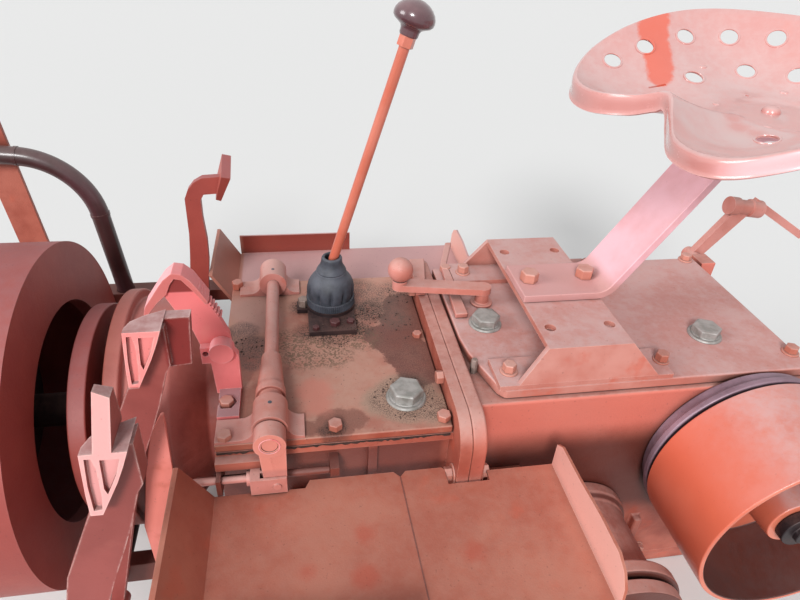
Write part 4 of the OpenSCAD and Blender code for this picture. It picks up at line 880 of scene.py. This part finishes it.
def makeBolts():
    for finish, rows in bolts.items():
        bm = bmesh.new()
        for at, axis, flats, height, washer, turn in rows:
            addBolt(bm, at, turns[axis], flats, height, washer, turn=turn)
        putPiece(bm, finish + "_heads", "casing", finish, edge=0.6, edgeSteps=2)
    bm = bmesh.new()
    for side in (-1, 1):
        for height in seamBolts["heights"]:
            for x, axis in seamBolts["faces"]:
                addBolt(bm, (x, side * seamBolts["y"], height), axis, *seamBolts["sizes"])
    for y, places in sumpBolts["rows"].items():
        for x in places:
            for side in (-1, 1):
                addBolt(bm, (x, side * y, sumpBolts["z"]), (0, side, 0), *sumpBolts["sizes"])
    circle = capBolts["circle"]
    for k in range(capBolts["count"]):
        angle = math.tau * (k + 0.5) / capBolts["count"]
        at = (capBolts["x"], circle * math.cos(angle), capBolts["z"] + circle * math.sin(angle))
        addBolt(bm, at, (1, 0, 0), *capBolts["sizes"])
    putPiece(bm, "casing_bolts", "casing", "boltRed", edge=0.6)
    for side, body in ((-1, "near_hub"), (1, "far_hub")):
        bm = bmesh.new()
        addBolt(bm, (hubNuts["x"], side * hubNuts["y"], hubNuts["z"]), (0, side, 0), *hubNuts["sizes"])
        putPiece(bm, body + "_nut", body, "oilySteel", edge=1)
    print("bolts made")


makeBolts()

# a crust under the cover's edge, part caked oil and part painted shade of the gap, by x from and to, step, y
# and z, and crumbs as place, spread and count
dirtAndShade = {
    "crust": (-320, -18, 4, -187.6, 437.6), "reach": (0.1, 1.2), "drop": (1.2, 4.5), "behind": 1.5,
    "undercut": 0.7, "cover": 450, "leverBase": (-160, 37, 23, 140, 458), "crumbSize": (0.5, 1.5),
    "crumbStretch": (0.7, 1.4),
    "crumbs": [
        (-160, 20, 30, 50), (-125, 40, 22, 50), (-100, 78, 22, 40), (-208, 104, 10, 24), (-70, -126, 44, 60),
        (-171, -172, 14, 30), (-288, 5, 26, 30), (-60, 40, 40, 30), (-40, 120, 26, 24)]}


def makeDirtAndShade(dice):
    # the crust: a dark strip standing partly for caked oil, partly for painted shade in the gap
    start, end, step, outer, top = dirtAndShade["crust"]
    inner = outer + dirtAndShade["behind"]
    bm = bmesh.new()
    rows = []
    for i in range(int((end - start) / step) + 1):
        x, reach, drop = start + i * step, dice.uniform(*dirtAndShade["reach"]), dice.uniform(*dirtAndShade["drop"])
        low, lowOuter = top - drop, outer - reach * dirtAndShade["undercut"]
        ring = ((inner, top), (outer - reach, top), (lowOuter, low), (inner, low))
        rows.append([bm.verts.new(Vector((x, y, z)) * 0.001) for y, z in ring])
    for a, b in zip(rows, rows[1:]):
        for k in range(4):
            bm.faces.new((a[k], a[(k + 1) % 4], b[(k + 1) % 4], b[k]))
    bm.faces.new(rows[0])
    bm.faces.new(rows[-1])
    bmesh.ops.recalc_face_normals(bm, faces=bm.faces)
    baseX, baseHalf, baseFrom, baseTo, baseTop = dirtAndShade["leverBase"]
    for middleX, middleY, spread, count in dirtAndShade["crumbs"]:
        for _ in range(count):
            angle, away = dice.uniform(0, math.tau), spread * math.sqrt(dice.random())
            x, y = middleX + away * math.cos(angle), middleY + away * math.sin(angle)
            onBase = abs(x - baseX) < baseHalf and baseFrom < y < baseTo
            size = dice.uniform(*dirtAndShade["crumbSize"])
            made = bmesh.ops.create_icosphere(bm, subdivisions=1, radius=size * 0.001)
            stretch = (dice.uniform(*dirtAndShade["crumbStretch"]), dice.uniform(*dirtAndShade["crumbStretch"]), 0.7)
            bmesh.ops.scale(bm, verts=made["verts"], vec=stretch)
            z = (baseTop if onBase else dirtAndShade["cover"]) + size * 0.4
            bmesh.ops.translate(bm, verts=made["verts"], vec=Vector((x, y, z)) * 0.001)
    putPiece(bm, "dirt_and_shade_crust", "casing", "dirtAndShade", sharp=30)


# oil holes on the cross shaft's bearings, as thin dark discs: painted shade of the holes
oilHoles = {"places": [(-251, -164, 495.9), (-251, 153, 495.9)], "radius": 2.6, "deep": 0.6}


def makeOilHoles():
    bm = bmesh.new()
    radius = oilHoles["radius"] * 0.001
    for at in oilHoles["places"]:
        bmesh.ops.create_cone(bm, cap_ends=True, segments=20, radius1=radius, radius2=radius,
                              depth=oilHoles["deep"] * 0.001, matrix=Matrix.Translation(Vector(at) * 0.001))
    putPiece(bm, "oil_holes", "casing", "rubber")


# the latch lever's teeth along its edge, and the ring on the end of the cross shaft
latch = {
    "from": (-331, 616), "to": (-308, 566), "y": -73, "teeth": 9, "long": 3.2, "wide": 17, "high": (3, 5.5),
    "ring": [(11.4, 0), (11.6, -0.9), (12.8, -0.9), (13, 0)], "ringAt": (-252, -217, 474)}


def makeTeethAndRing(dice):
    bm = spunShape(latch["ring"], latch["ringAt"], "y", 48)
    (x0, z0), (x1, z1) = latch["from"], latch["to"]
    slope = Vector((x1 - x0, 0, z1 - z0)).normalized()
    for i in range(latch["teeth"]):
        share = (i + 0.5) / latch["teeth"]
        at = (x0 + (x1 - x0) * share, latch["y"], z0 + (z1 - z0) * share)
        made = bmesh.ops.create_cube(bm, size=0.001, matrix=turnedTo(at, slope))
        mid = Vector(at) * 0.001
        for vert in made["verts"]:
            off = vert.co - mid
            along, side = off.dot(slope), off.y
            out = off - slope * along - Vector((0, side, 0))
            across = Vector((0, side * latch["wide"], 0))
            vert.co = mid + slope * along * latch["long"] + across + out * dice.uniform(*latch["high"])
    putPiece(bm, "latch_teeth_and_ring", "casing", "latchRed", edge=0.5, edgeSteps=1)


# the welded seam across the near foot plate: its ends, height, and how wide and high it stands
plateSeam = {"from": (-89, -213), "to": (-84, -410), "z": 390, "wide": 1.6, "high": 0.8}


def makePlateSeam():
    (x0, y0), (x1, y1) = plateSeam["from"], plateSeam["to"]
    bm = bmesh.new()
    bmesh.ops.create_cube(bm, size=0.001)
    for vert in bm.verts:
        share = vert.co.y * 1000 + 0.5
        x = x0 + (x1 - x0) * share + vert.co.x * plateSeam["wide"] * 1000
        z = plateSeam["z"] + vert.co.z * plateSeam["high"] * 1000
        vert.co = Vector((x, y0 + (y1 - y0) * share, z)) * 0.001
    putPiece(bm, "plate_seam", "casing", "castRed")


def makeSmallThings():
    dice = random.Random(11)  # one row of draws, first for the dirt and then for the teeth
    makeDirtAndShade(dice)
    makeOilHoles()
    makeTeethAndRing(dice)
    makePlateSeam()
    print("small things made")


makeSmallThings()
